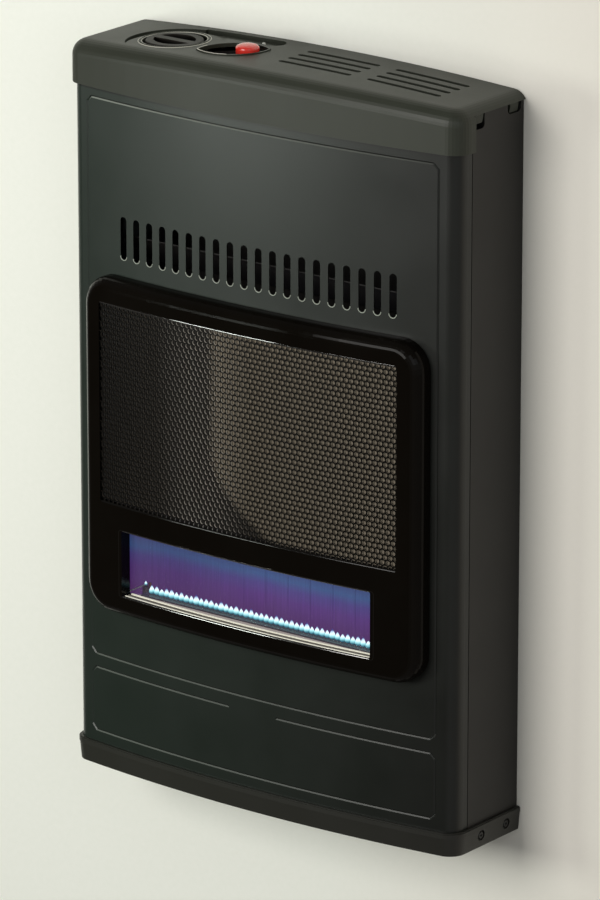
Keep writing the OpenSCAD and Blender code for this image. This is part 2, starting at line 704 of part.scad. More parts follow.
// Gloss bezel: bulging frame with the grille's opening and the window's walls
seat = 4;
window_wall = 2;
module bezel() {
  glass_out = bezel_out - window_d;
  color("#15120f") from_tray() {
    difference() {
      bezel_form(0);
      difference() {
        bezel_form(bezel_t);
        translate([0, 0, window_z - window_wall])
          through(window_w + 2 * window_wall, window_h + 2 * window_wall, 4, -2 * shoulder_d, 0);
      }
      bow(1.2 * bezel_w) translate([-shoulder_d, bezel_z - 1])
        square([shoulder_d + slip, bezel_h + 2]);
      bow(window_w + 4 * window_wall) translate([-shoulder_d, window_z - 2 * window_wall])
        square([shoulder_d + glass_out, window_h + 4 * window_wall]);
      translate([0, 0, grille_z]) through(grille_w, grille_h, 3, -2 * shoulder_d, 0);
      bow(grille_w + 2 * (seat + slip)) translate([0, grille_z - seat - slip])
        square([bezel_out - grille_in + slip / 3, grille_h + 2 * (seat + slip)]);
      translate([0, 0, window_z]) through(window_w, window_h, 3, -2 * shoulder_d, 0);
    }
    for (x = [-post_x, post_x], z = post_z) at_face(x, z) rotate([90, 0, 0])
      translate([0, 0, -sheet - nut_t - 2]) cylinder(bezel_out - bezel_t / 2 + sheet + nut_t + 2,
        post_r, post_r, $fn = 24);
  }
}

// Four nuts on the bezel's posts, behind the front panel
module bezel_nuts() {
  color("#b8b8b4") from_tray() for (x = [-post_x, post_x], z = post_z)
    at_face(x, z) rotate([-90, 0, 0]) translate([0, 0, sheet + 0.1]) difference() {
      cylinder(nut_t, 2 * post_r, 2 * post_r, $fn = 6);
      translate([0, 0, -1]) cylinder(2 * nut_t, post_r + 0.05, post_r + 0.05, $fn = 24);
    }
}

// Perforated steel grille: staggered rows of holes in a bowed sheet
module grille() {
  row = hole_pitch * sqrt(3) / 2;
  rows = floor((grille_h / 2 - hole_r) / row);
  cols = floor((grille_w / 2 - hole_r) / hole_pitch);
  face = bezel_out - grille_in;
  color("#2b2520") from_tray() difference() {
    bow(grille_w + 2 * seat) translate([face - grille_t, grille_z - seat])
      square([grille_t, grille_h + 2 * seat]);
    for (j = [-rows : rows], i = [-cols : cols - abs(j) % 2])
      translate([(i + (abs(j) % 2) / 2) * hole_pitch, 0, grille_z + grille_h / 2 + j * row])
      rotate([90, 0, 0]) cylinder(2 * shoulder_d, hole_r, hole_r, $fn = 16);
  }
}

// Bent heat resistant sheet behind the window's walls
module window_glass() {
  color([0.35, 0.3, 0.5, 0.35]) from_tray() bow(window_w + 3 * seat)
    translate([bezel_out - window_d - slip - glass_t, window_z - 1.5 * seat])
    square([glass_t, window_h + 3 * seat]);
}

// Two spring clips that press the window's sheet against the bezel
module glass_clips() {
  back = bezel_out - window_d - 2 * slip - glass_t;
  color("#a9aaa8") from_tray() both_sides()
    at_face(window_w / 2 + 2.5 * seat, window_z + window_h / 2) {
      translate([-1.6 * seat, -back, -2 * seat]) cube([2 * seat, 0.8, 4 * seat]);
      translate([0.4 * seat - 0.8, -bezel_out + bezel_t + slip, -2 * seat])
        cube([0.8, bezel_out - bezel_t - slip - back + 0.8, 4 * seat]);
    }
}

// Bright ribbed rail along the bottom of the window
rail_h = 2;
rail_in = 0.5;
module window_rail() {
  base = bezel_out - window_d + rail_in;
  color("#b9b5a6") from_tray() bow(window_w - 2 * seat) translate([base, window_z + 0.1]) {
    square([window_d - 4 * rail_in, rail_h / 2]);
    for (i = [0 : 2]) translate([i * 2 * rail_h, 0]) square([rail_h * 0.75, rail_h]);
  }
}

// Firebox: folded steel box, open on top, with the window and grille openings
// in its front and the pipes' holes in its left side
mix_z = burner_z - burner_h / 2;
mixer_r = 8;
pilot_x = burner_l / 2 + 7;
pilot_r = 3.2;
spark_r = 2.6;
pilot_y = burner_y - mixer_r - pilot_r - sheet;
probe_y = pilot_y - 6;
spark_y = burner_y + mixer_r + spark_r + sheet;
small_r = 1.5;
pilot_low_z = box_z + 12;
probe_low_z = box_z + 6;
spark_low_z = box_z + 9;
// Folded feet that stand the firebox off the back panel
foot_w = 30;
foot_h = 20;
module box_feet() {
  for (x = [-1, 1], z = [box_z + foot_h, box_z + box_h - 3 * foot_h])
    translate([x * box_w / 3 - foot_w / 2, -box_back, z]) {
      cube([foot_w, box_back - sheet, sheet]);
      translate([0, box_back - 2 * sheet, 0]) cube([foot_w, sheet, foot_h]);
    }
}

// Room for the mixer and the three thin pipes through the left side
module pipe_holes() {
  for (p = [[burner_y, mix_z, mixer_r + 1], [pilot_y, pilot_low_z, 2 * small_r],
    [probe_y, probe_low_z, 2 * small_r], [spark_y, spark_low_z, 2.4 * small_r]])
    translate([-box_w / 2, -p[0], p[1]]) rotate([0, 90, 0])
      cylinder(8 * sheet, p[2], p[2], center = true, $fn = 32);
}

box_slot_in = 20;
module firebox() {
  front_w = box_w - 2 * bezel_edge_r;
  color("#33302e") from_tray() difference() {
    union() {
      translate([-box_w / 2, -box_front, box_z]) cube([box_w, box_front - box_back, box_h]);
      box_feet();
    }
    translate([-box_w / 2 + sheet, -box_front + sheet, box_z + sheet])
      cube([box_w - 2 * sheet, box_front - box_back - 2 * sheet, box_h]);
    translate([0, 0, box_z + 3 * seat])
      through(front_w, grille_z - box_z - 7 * seat, seat, -2 * shoulder_d, -box_front + 2 * sheet);
    translate([0, 0, grille_z + 2 * seat])
      through(front_w, grille_h - 4 * seat, seat, -2 * shoulder_d, -box_front + 2 * sheet);
    pipe_holes();
    for (i = [-7 : 7]) translate([i * 1.25 * slot_pitch, -box_back - box_slot_in, box_z])
      linear_extrude(4 * sheet, center = true) slot(slot_w, slot_l / 2);
  }
}

// Heat tinted steel reflector: ribbed back, wings along the sides, folded top
rib_n = 13;
reflector_lip = 12;
module reflector() {
  y = -box_back - sheet - slip;
  w = box_w - 2 * sheet - 2 * slip;
  z0 = box_z + sheet + slip;
  h = box_h - 4 * seat;
  wing = box_front + y - 2 * sheet;
  color("#5a4a86") from_tray() {
    translate([-w / 2, y - sheet, z0]) cube([w, sheet, h]);
    translate([-w / 2, y - reflector_lip, z0 + h - sheet]) cube([w, reflector_lip, sheet]);
    difference() {
      both_sides() translate([w / 2 - sheet, y - wing, z0]) cube([sheet, wing, h]);
      pipe_holes();
    }
    for (i = [0 : rib_n - 1]) translate([(i - (rib_n - 1) / 2) * w / rib_n, y - sheet, z0 + 2 * seat])
      cylinder(h - 4 * seat, sheet + slip / 2, sheet + slip / 2, $fn = 24);
  }
}

// Folded baffle over the firebox that turns the warm air forwards
deflector_h = 60;
deflector_rise = 34;
deflector_gap = 20;
module heat_deflector() {
  y = -sheet - slip;
  z = box_z + box_h + slip;
  knee = -box_back - reflector_lip;
  tip = -box_front + deflector_gap;
  color("#3a3835") from_tray() rotate([90, 0, 90]) translate([0, 0, -box_w / 2 - 2 * seat])
    linear_extrude(box_w + 4 * seat) polygon([[y, z], [y, z + deflector_h],
      [y - sheet, z + deflector_h], [y - sheet, z + sheet], [knee, z + sheet],
      [tip, z + deflector_rise], [tip - sheet / 2, z + deflector_rise - sheet],
      [knee - sheet / 2, z]]);
}

// Burner: a folded tube with closed ends, open on top for the port strip
module burner() {
  r = 5;
  color("#77736c") from_tray() translate([0, -burner_y, burner_z - burner_h]) difference() {
    rotate([90, 0, 90]) translate([0, 0, -burner_l / 2]) linear_extrude(burner_l)
      rounded(burner_w, burner_h, r);
    rotate([90, 0, 90]) translate([0, sheet, -burner_l / 2 + sheet])
      linear_extrude(burner_l - 2 * sheet) rounded(burner_w - 2 * sheet, burner_h - 2 * sheet, r - sheet);
    translate([-port_n * port_pitch / 2, -burner_w / 4, burner_h / 2])
      cube([port_n * port_pitch, burner_w / 2, burner_h]);
    translate([-burner_l / 2, 0, burner_h / 2]) rotate([0, 90, 0])
      cylinder(4 * sheet, mixer_r + 0.1, mixer_r + 0.1, center = true, $fn = 48);
  }
}

// Strip of flame ports, seated on the burner's open top
module burner_ports() {
  l = port_n * port_pitch + 8;
  color("#8d8a84") from_tray() translate([0, -burner_y, burner_z + 0.1]) difference() {
    translate([-l / 2, -burner_w / 2 + 3, 0]) cube([l, burner_w - 6, 1.5 * sheet]);
    for (i = [0 : port_n - 1]) translate([(i - (port_n - 1) / 2) * port_pitch - 1, -4, -1])
      cube([2, 8, 4 * sheet]);
  }
}

// Two brackets that carry the burner on the firebox's bottom
module burner_brackets() {
  z0 = box_z + sheet;
  h = burner_z - burner_h - z0;
  color("#8b8f92") from_tray() both_sides()
    translate([burner_l / 2 - 2 * foot_h, -burner_y - burner_w / 2, z0]) {
      cube([foot_h, burner_w, 1.5 * sheet]);
      cube([1.5 * sheet, burner_w, h]);
      translate([0, 0, h - 1.5 * sheet]) cube([foot_h, burner_w, 1.5 * sheet]);
    }
}

// Venturi that mixes gas and air, its collar round the injector
jet_x = pipe_x - bend_r;
collar_l = 4;
mouth_x = jet_x - collar_l - 8;
module mixer_tube() {
  l = mouth_x - burner_l / 2 + sheet;
  color("#9d9a93") from_tray() translate([-mouth_x, -burner_y, mix_z]) rotate([0, 90, 0]) {
    rotate_extrude($fn = 64) polygon([[mixer_r + 3, 0], [mixer_r, 4], [mixer_r, l],
      [mixer_r - sheet, l], [mixer_r - sheet, 4.4], [mixer_r + 3 - 1.2 * sheet, 0]]);
    translate([0, 0, -8 - collar_l]) difference() {
      cylinder(collar_l, 9, 9, $fn = 48);
      translate([0, 0, -1]) cylinder(collar_l + 2, 6.1, 6.1, $fn = 48);
    }
    for (s = [-1, 1]) translate([s * 8.5 - 0.5, -2.5, -8 - collar_l]) cube([1, 5, 8 + collar_l + 3.5]);
  }
}

// Brass injector in the mixer's collar
module injector() {
  color("#b99a4e") from_tray() translate([-jet_x, -burner_y, mix_z]) rotate([0, 90, 0])
    difference() {
      union() {
        cylinder(collar_l, 6, 6, $fn = 48);
        translate([0, 0, collar_l]) cylinder(5, 3.5, 1.6, $fn = 32);
      }
      translate([0, 0, -1]) cylinder(collar_l + 2, 2, 2, $fn = 24);
      translate([0, 0, -1]) cylinder(collar_l + 8, 0.5, 0.5, $fn = 16);
    }
}

// Pipe in one upright plane: along X at the bottom, up, and along X at the top
module bent_pipe(x_low, z_low, x_up, z_high, x_high, r, bend) {
  if (x_low > x_up) {
    translate([x_up + bend, 0, z_low]) rotate([0, 90, 0])
      cylinder(x_low - x_up - bend, r, r, $fn = 32);
    translate([x_up + bend, 0, z_low + bend]) rotate([90, 0, 0]) rotate(180)
      rotate_extrude(angle = 90, $fn = 96) translate([bend, 0]) circle(r, $fn = 32);
  }
  z0 = x_low > x_up ? z_low + bend : z_low;
  translate([x_up, 0, z0]) cylinder(z_high - bend - z0, r, r, $fn = 32);
  translate([x_up + bend, 0, z_high - bend]) rotate([90, 0, 0]) rotate(90)
    rotate_extrude(angle = 90, $fn = 96) translate([bend, 0]) circle(r, $fn = 32);
  translate([x_up + bend, 0, z_high]) rotate([0, 90, 0])
    cylinder(x_high - x_up - bend, r, r, $fn = 32);
}

// Gas valve under the knob: block, ports on its left, sprung neck above
block_w = 36;
block_h = 34;
block_y = [inlet_y - mixer_r, burner_y + mixer_r];
neck_z1 = cup_floor_z + nut_t;
neck_z0 = cup_floor_z - wall - 3;
block_z = neck_z0 - block_h;
gas_z = block_z + 9;
supply_z = block_z + 9;
pilot_z = block_z + 24;
probe_z = block_z + 24;
spark_z = block_z - 12;
plunger_r = 7;
stem_r = 4;
spring_seat_z = neck_z0 - 12;
module gas_valve() {
  color("#a8a398") from_tray() difference() {
    union() {
      translate([-knob_x - block_w / 2, -block_y[1], block_z])
        cube([block_w, block_y[1] - block_y[0], block_h]);
      translate([-knob_x, -knob_y, neck_z0 - 1]) cylinder(neck_z1 - neck_z0 + 1, neck_r, neck_r, $fn = 64);
      for (p = [[burner_y, gas_z, 7], [inlet_y, supply_z, 7], [pilot_y, pilot_z, 3.5]])
        translate([-knob_x - block_w / 2 - 5, -p[0], p[1]]) rotate([0, 90, 0])
          cylinder(6, p[2], p[2], $fn = 32);
    }
    translate([-knob_x, -knob_y, block_z + 4])
      cylinder(cap_h * 2, plunger_r + running, plunger_r + running, $fn = 64);
    translate([-knob_x, -knob_y, spring_seat_z]) cylinder(cap_h, 10.5, 10.5, $fn = 64);
  }
}

// Thin nut that clamps the valve's neck in the insert
module valve_nut() {
  color("#b8b8b4") from_tray() translate([-knob_x, -knob_y, cup_floor_z + 0.05]) difference() {
    cylinder(nut_t - 0.4, 17, 17, $fn = 6);
    translate([0, 0, -1]) cylinder(2 * nut_t, neck_r + 0.05, neck_r + 0.05, $fn = 64);
  }
}

// Plunger that the knob pushes in: a sleeve with a spring collar
collar_z = neck_z1 + knob_travel + 0.6;
module valve_plunger() {
  color("#c9c2a8") from_tray() translate([-knob_x, -knob_y, 0]) difference() {
    union() {
      translate([0, 0, block_z + 4 + knob_travel + 1])
        cylinder(collar_z + 1.5 - block_z - 4 - knob_travel - 1, plunger_r, plunger_r, $fn = 64);
      translate([0, 0, collar_z]) cylinder(1.5, 10, 10, $fn = 64);
    }
    cylinder(top_z, stem_r + running, stem_r + running, $fn = 48);
  }
}

// Spindle that turns with the knob, stepped into the knob's bar
pin_r = 2.6;
hub_z = collar_z + 1.5 + slip;
knob_pin_z = knob_z + knob_h - 3;
module valve_spindle() {
  z0 = block_z + 4 + knob_travel + 1;
  color("#d8d2c0") from_tray() translate([-knob_x, -knob_y, 0]) {
    translate([0, 0, z0]) cylinder(hub_z - z0, stem_r, stem_r, $fn = 48);
    translate([0, 0, hub_z - 1]) cylinder(knob_pin_z - hub_z, pin_r, pin_r, $fn = 32);
  }
}

// Knob: round, hollow below, with two finger recesses beside a bar on top
module knob() {
  r = knob_d / 2;
  web_z = knob_z + knob_h - grip_depth - 2;
  color("#5b574d") from_tray() translate([-knob_x, -knob_y, 0]) difference() {
    translate([0, 0, knob_z]) rotate_extrude($fn = 96) {
      square([r, knob_h - 1.5]);
      square([r - 1.5, knob_h]);
      translate([r - 1.5, knob_h - 1.5]) circle(1.5, $fn = 24);
    }
    translate([0, 0, knob_z - 1]) cylinder(web_z - knob_z + 1, 19, 19, $fn = 96);
    translate([0, 0, knob_z - 1]) cylinder(knob_pin_z + 0.1 - knob_z, pin_r + 0.03, pin_r + 0.03, $fn = 32);
    for (s = [-1, 1]) translate([0, 0, knob_z + knob_h - grip_depth])
      linear_extrude(knob_h) intersection() {
        translate([0, s * (grip_bar / 2 + 20)]) square([2 * r, 40], center = true);
        translate([0, -s * 2]) circle(r - 6, $fn = 64);
      }
  }
}

// Helical spring round the Z axis, swept by functions
module coil(mean_r, wire_r, z0, z1, turns) {
  sides = 6;
  steps = 10;
  rings = turns * steps;
  point = function (k, j) let (a = 360 * k / steps, b = 360 * j / sides,
    rr = mean_r + wire_r * cos(b)) [rr * cos(a), rr * sin(a),
    z0 + wire_r + (z1 - z0 - 2 * wire_r) * k / rings + wire_r * sin(b)];
  polyhedron(
    points = [for (k = [0 : rings], j = [0 : sides - 1]) point(k, j)],
    faces = concat([[for (j = [0 : sides - 1]) j]],
      [for (k = [0 : rings - 1], j = [0 : sides - 1]) [k * sides + j,
        (k + 1) * sides + j, (k + 1) * sides + (j + 1) % sides]],
      [for (k = [0 : rings - 1], j = [0 : sides - 1]) [k * sides + j,
        (k + 1) * sides + (j + 1) % sides, k * sides + (j + 1) % sides]],
      [[for (j = [sides - 1 : -1 : 0]) rings * sides + j]]));
}
module knob_spring() {
  color("#c4c6c8") from_tray() translate([-knob_x, -knob_y, 0])
    coil(8.9, 0.7, spring_seat_z + 0.1, collar_z - 0.1, 5);
}

// Supply pipe from the inlet up to the valve, and the burner's gas pipe
port_x = -knob_x - block_w / 2 - 5;
inlet_z1 = inlet_l + 6;
module supply_pipe() {
  color("#b5b6b4") from_tray() translate([0, -inlet_y, 0])
    bent_pipe(-pipe_x, inlet_z1 + 8, -pipe_x, supply_z, port_x, pipe_d / 2, bend_r);
}
module gas_pipe() {
  color("#b5b6b4") from_tray() translate([0, -burner_y, 0])
    bent_pipe(-jet_x, mix_z, -pipe_x, gas_z, port_x, pipe_d / 2, bend_r);
}

// Gas inlet: threaded stub, hexagon and the bracket that holds it to the back
module gas_inlet() {
  color("#c2a860") from_tray() difference() {
    union() {
      translate([-pipe_x, -inlet_y, inlet_z1 - inlet_l]) {
        cylinder(inlet_l, inlet_d / 2, inlet_d / 2, $fn = 64);
        translate([0, 0, inlet_l]) cylinder(8, 13, 13, $fn = 6);
      }
      translate([-pipe_x - 8, -inlet_y, inlet_z1 + 2]) cube([16, inlet_y - sheet - slip, 3]);
    }
    translate([-pipe_x, -inlet_y, 0]) cylinder(inlet_z1 + 4, 6, 6, $fn = 32);
  }
}

// Spark generator: body under the shelf, threaded barrel through it
button_stem_r = 4;
body_h = 30;
body_z = [shelf_z - wall - body_h, shelf_z - wall];
plug_y = 15;
barrel_z1 = shelf_z + nut_t + 3;
module igniter_body() {
  color("#1b1b1b") from_tray() translate([-button_x, -knob_y, 0]) difference() {
    union() {
      translate([0, 0, body_z[0]]) cylinder(body_z[1] - body_z[0] - 0.05, 12, 12, $fn = 64);
      translate([0, 0, body_z[1] - 1]) cylinder(barrel_z1 - body_z[1] + 1, barrel_r, barrel_r, $fn = 64);
      translate([-3, -plug_y, body_z[0] + 6]) cube([6, plug_y / 2, 8]);
    }
    translate([0, 0, body_z[0] + 3])
      cylinder(top_z, button_stem_r + running, button_stem_r + running, $fn = 48);
  }
}
module igniter_nut() {
  color("#b8b8b4") from_tray() translate([-button_x, -knob_y, shelf_z + 0.05]) difference() {
    cylinder(nut_t, 12, 12, $fn = 6);
    translate([0, 0, -1]) cylinder(2 * nut_t, barrel_r + 0.05, barrel_r + 0.05, $fn = 64);
  }
}

// Red igniter button: a well rounded cap with a stem that runs in the barrel
button_low_z = barrel_z1 + button_travel + 1;
module igniter_button() {
  r = button_d / 2;
  dome = 4.5;
  h = button_top_z - button_low_z;
  // Full at its edge and flat on top, as a squared ellipse
  round_off = [for (a = [0:7.5:90]) [r * pow(cos(a), 0.8), h - dome + dome * pow(sin(a), 0.8)]];
  color("#d0281f") from_tray() translate([-button_x, -knob_y, 0]) {
    translate([0, 0, button_low_z]) difference() {
      rotate_extrude($fn = 96) polygon(concat([[0, 0], [r, 0]], round_off));
      translate([0, 0, -1]) difference() {
        cylinder(h - 3, r - 2, r - 2, $fn = 64);
        cylinder(h - 3, button_stem_r, button_stem_r, $fn = 48);
      }
    }
    translate([0, 0, body_z[0] + 3 + button_travel + 1])
      cylinder(button_low_z - body_z[0] - button_travel - 3, button_stem_r, button_stem_r, $fn = 48);
  }
}
module button_spring() {
  color("#c4c6c8") from_tray() translate([-button_x, -knob_y, 0])
    coil(6.3, 0.6, barrel_z1 + 0.1, button_low_z + button_top_z - button_low_z - 4.1, 5);
}

// Pilot burner beside the burner's left end, on its own foot
pilot_shelf_z = pilot_low_z + 11;
module pilot_burner() {
  shelf_t = 1.5;
  color("#8d8a84") from_tray() translate([-pilot_x, 0, 0]) difference() {
    union() {
      translate([0, -pilot_y, pilot_low_z + 9])
        cylinder(burner_z - pilot_low_z - 7, pilot_r, pilot_r, $fn = 32);
      translate([-4, -spark_y - 4, pilot_shelf_z]) cube([8, spark_y - probe_y + 8, shelf_t]);
      translate([-4, -pilot_y, pilot_shelf_z]) cube([12, 12, shelf_t]);
      translate([8 - shelf_t, -pilot_y, box_z + sheet]) cube([shelf_t, 12, pilot_shelf_z - box_z]);
    }
    translate([0, -pilot_y, burner_z - 8]) cylinder(20, pilot_r - 1, pilot_r - 1, $fn = 24);
    translate([0, -probe_y, 0]) cylinder(burner_z, small_r + 0.05, small_r + 0.05, $fn = 24);
    translate([0, -spark_y, 0]) cylinder(burner_z, spark_r + 0.05, spark_r + 0.05, $fn = 32);
  }
}

// Thin pipe to the pilot, and the leads of the flame sensor and the spark plug
low_bend = 4;
lead_x = pipe_x + 8;
module riser(y, z_low, z_high, r, z_top, x_end) {
  translate([0, -y, 0]) {
    bent_pipe(-pilot_x - low_bend, z_low, -lead_x, z_top, x_end, r, low_bend);
    translate([-pilot_x - low_bend, 0, z_low + low_bend]) rotate([90, 0, 0]) rotate(-90)
      rotate_extrude(angle = 90, $fn = 48) translate([low_bend, 0]) circle(r, $fn = 24);
    translate([-pilot_x, 0, z_low + low_bend]) cylinder(z_high - z_low - low_bend, r, r, $fn = 24);
  }
}
module pilot_pipe() {
  color("#b5b6b4") from_tray()
    riser(pilot_y, pilot_low_z, pilot_low_z + 8.9, small_r, pilot_z, port_x);
}
module thermocouple() {
  color("#b08a4a") from_tray()
    riser(probe_y, probe_low_z, burner_z + 4, small_r, probe_z, -knob_x - block_w / 2 - 0.1);
}
module spark_electrode() {
  color("#e6e1d6") from_tray() translate([-pilot_x, -spark_y, 0]) {
    translate([0, 0, spark_low_z + 10]) cylinder(burner_z - spark_low_z - 12, spark_r, spark_r, $fn = 32);
    translate([0, 0, burner_z - 3]) cylinder(7, 0.7, 0.7, $fn = 16);
    translate([0, 0, burner_z + 4]) rotate([-90, 0, 0]) cylinder(spark_y - pilot_y - 2, 0.7, 0.7, $fn = 16);
  }
}
module spark_lead() {
  end_y = knob_y + plug_y + slip;
  turn_r = spark_y - end_y;
  color("#7c1f1a") from_tray() {
    riser(spark_y, spark_low_z, spark_low_z + 9.9, small_r, body_z[0] + 10, -button_x - turn_r);
    translate([-button_x - turn_r, -end_y, body_z[0] + 10]) rotate(-90)
      rotate_extrude(angle = 90, $fn = 64) translate([turn_r, 0]) circle(small_r, $fn = 24);
  }
}

back_panel();
left_side_panel();
right_side_panel();
front_panel();
base_tray();
tray_screws();
top_cap();
control_plate();
control_screws();
bezel();
bezel_nuts();
grille();
window_glass();
glass_clips();
window_rail();
firebox();
reflector();
heat_deflector();
burner();
burner_ports();
burner_brackets();
mixer_tube();
injector();
gas_pipe();
gas_valve();
valve_nut();
valve_plunger();
valve_spindle();
knob();
knob_spring();
supply_pipe();
gas_inlet();
igniter_body();
igniter_nut();
igniter_button();
button_spring();
pilot_burner();
pilot_pipe();
spark_electrode();
spark_lead();
thermocouple();
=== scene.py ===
"""Wall mounted gas heater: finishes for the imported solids, the fine grille, flames and trim."""

import logging
import math
from dataclasses import dataclass
from enum import Enum
from typing import Callable, Optional, Union

import bmesh
import bpy
from mathutils import Matrix, Vector


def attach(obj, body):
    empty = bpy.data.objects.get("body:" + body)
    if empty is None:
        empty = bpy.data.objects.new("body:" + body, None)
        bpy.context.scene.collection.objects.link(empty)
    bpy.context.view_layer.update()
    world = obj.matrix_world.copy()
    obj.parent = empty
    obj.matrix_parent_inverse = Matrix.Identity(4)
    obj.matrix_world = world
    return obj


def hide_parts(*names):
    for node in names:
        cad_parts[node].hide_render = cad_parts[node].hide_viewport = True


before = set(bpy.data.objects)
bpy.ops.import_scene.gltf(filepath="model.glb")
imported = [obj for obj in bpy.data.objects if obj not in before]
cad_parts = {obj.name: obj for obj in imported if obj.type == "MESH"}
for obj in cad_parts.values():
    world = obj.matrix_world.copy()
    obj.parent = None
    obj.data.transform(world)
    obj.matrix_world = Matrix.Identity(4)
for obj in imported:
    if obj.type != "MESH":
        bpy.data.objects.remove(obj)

LOG = logging.getLogger("heater")
MM = 0.001
# Heights in millimetres over the tray's underside: of the row's origin, and of the cap
MOUNT_Z = 340.0
TOP_Z = 695.0
CAP_Z = 649.0
# Radii in millimetres of the front's bow and the cap's crown, and the bow's axis in depth
BOW_R = 1526.75
BOW_Y = 1416.25
CROWN_R = 3367.0

# Stands up what lies flat
UPRIGHT = Matrix.Rotation(math.radians(90), 4, "X")

Colour = tuple[float, float, float]
Input = Union["Sock", float, int, tuple]


def srgb(r: float, g: float, b: float) -> Colour:
    """Turns a colour written in 0 to 255 into the linear numbers that shaders take.

    Args:
        r: Red.
        g: Green.
        b: Blue.

    Returns:
        The linear colour.
    """

    def one(v: float) -> float:
        """One channel."""
        v /= 255.0
        return v / 12.92 if v <= 0.04045 else ((v + 0.055) / 1.055) ** 2.4

    return one(r), one(g), one(b)


def metres_up(z: float) -> float:
    """Height in metres in the row's frame of a height in millimetres over the tray's underside."""
    return (z - MOUNT_Z) * MM


def place(x: float, y: float, z: float) -> Vector:
    """A point in millimetres, with z over the tray's underside, in the row's frame."""
    return Vector((x * MM, y * MM, metres_up(z)))


def on_bow(x: float, out: float, z: float) -> Vector:
    """A point that lies x along the bow and stands out from the panel's face."""
    angle = x / (BOW_R + out)
    return place((BOW_R + out) * math.sin(angle), BOW_Y - (BOW_R + out) * math.cos(angle), z)


class Sock:
    """A shader socket that Python expressions can use."""

    def __init__(self, graph: "Graph", socket: bpy.types.NodeSocket) -> None:
        """Keeps the socket and the graph that it belongs to."""
        self.graph = graph
        self.socket = socket

    def _math(self, operation: str, a: Input, b: Input) -> "Sock":
        """Adds the Math node of one operation."""
        return self.graph.sock("ShaderNodeMath", {"operation": operation}, {0: a, 1: b})

    def __add__(self, other: Input) -> "Sock":
        """Sum."""
        return self._math("ADD", self, other)

    __radd__ = __add__

    def __sub__(self, other: Input) -> "Sock":
        """Difference."""
        return self._math("SUBTRACT", self, other)

    def __rsub__(self, other: Input) -> "Sock":
        """Difference from a number."""
        return self._math("SUBTRACT", other, self)

    def __mul__(self, other: Input) -> "Sock":
        """Product."""
        return self._math("MULTIPLY", self, other)

    __rmul__ = __mul__

    def __pow__(self, other: Input) -> "Sock":
        """Power."""
        return self._math("POWER", self, other)


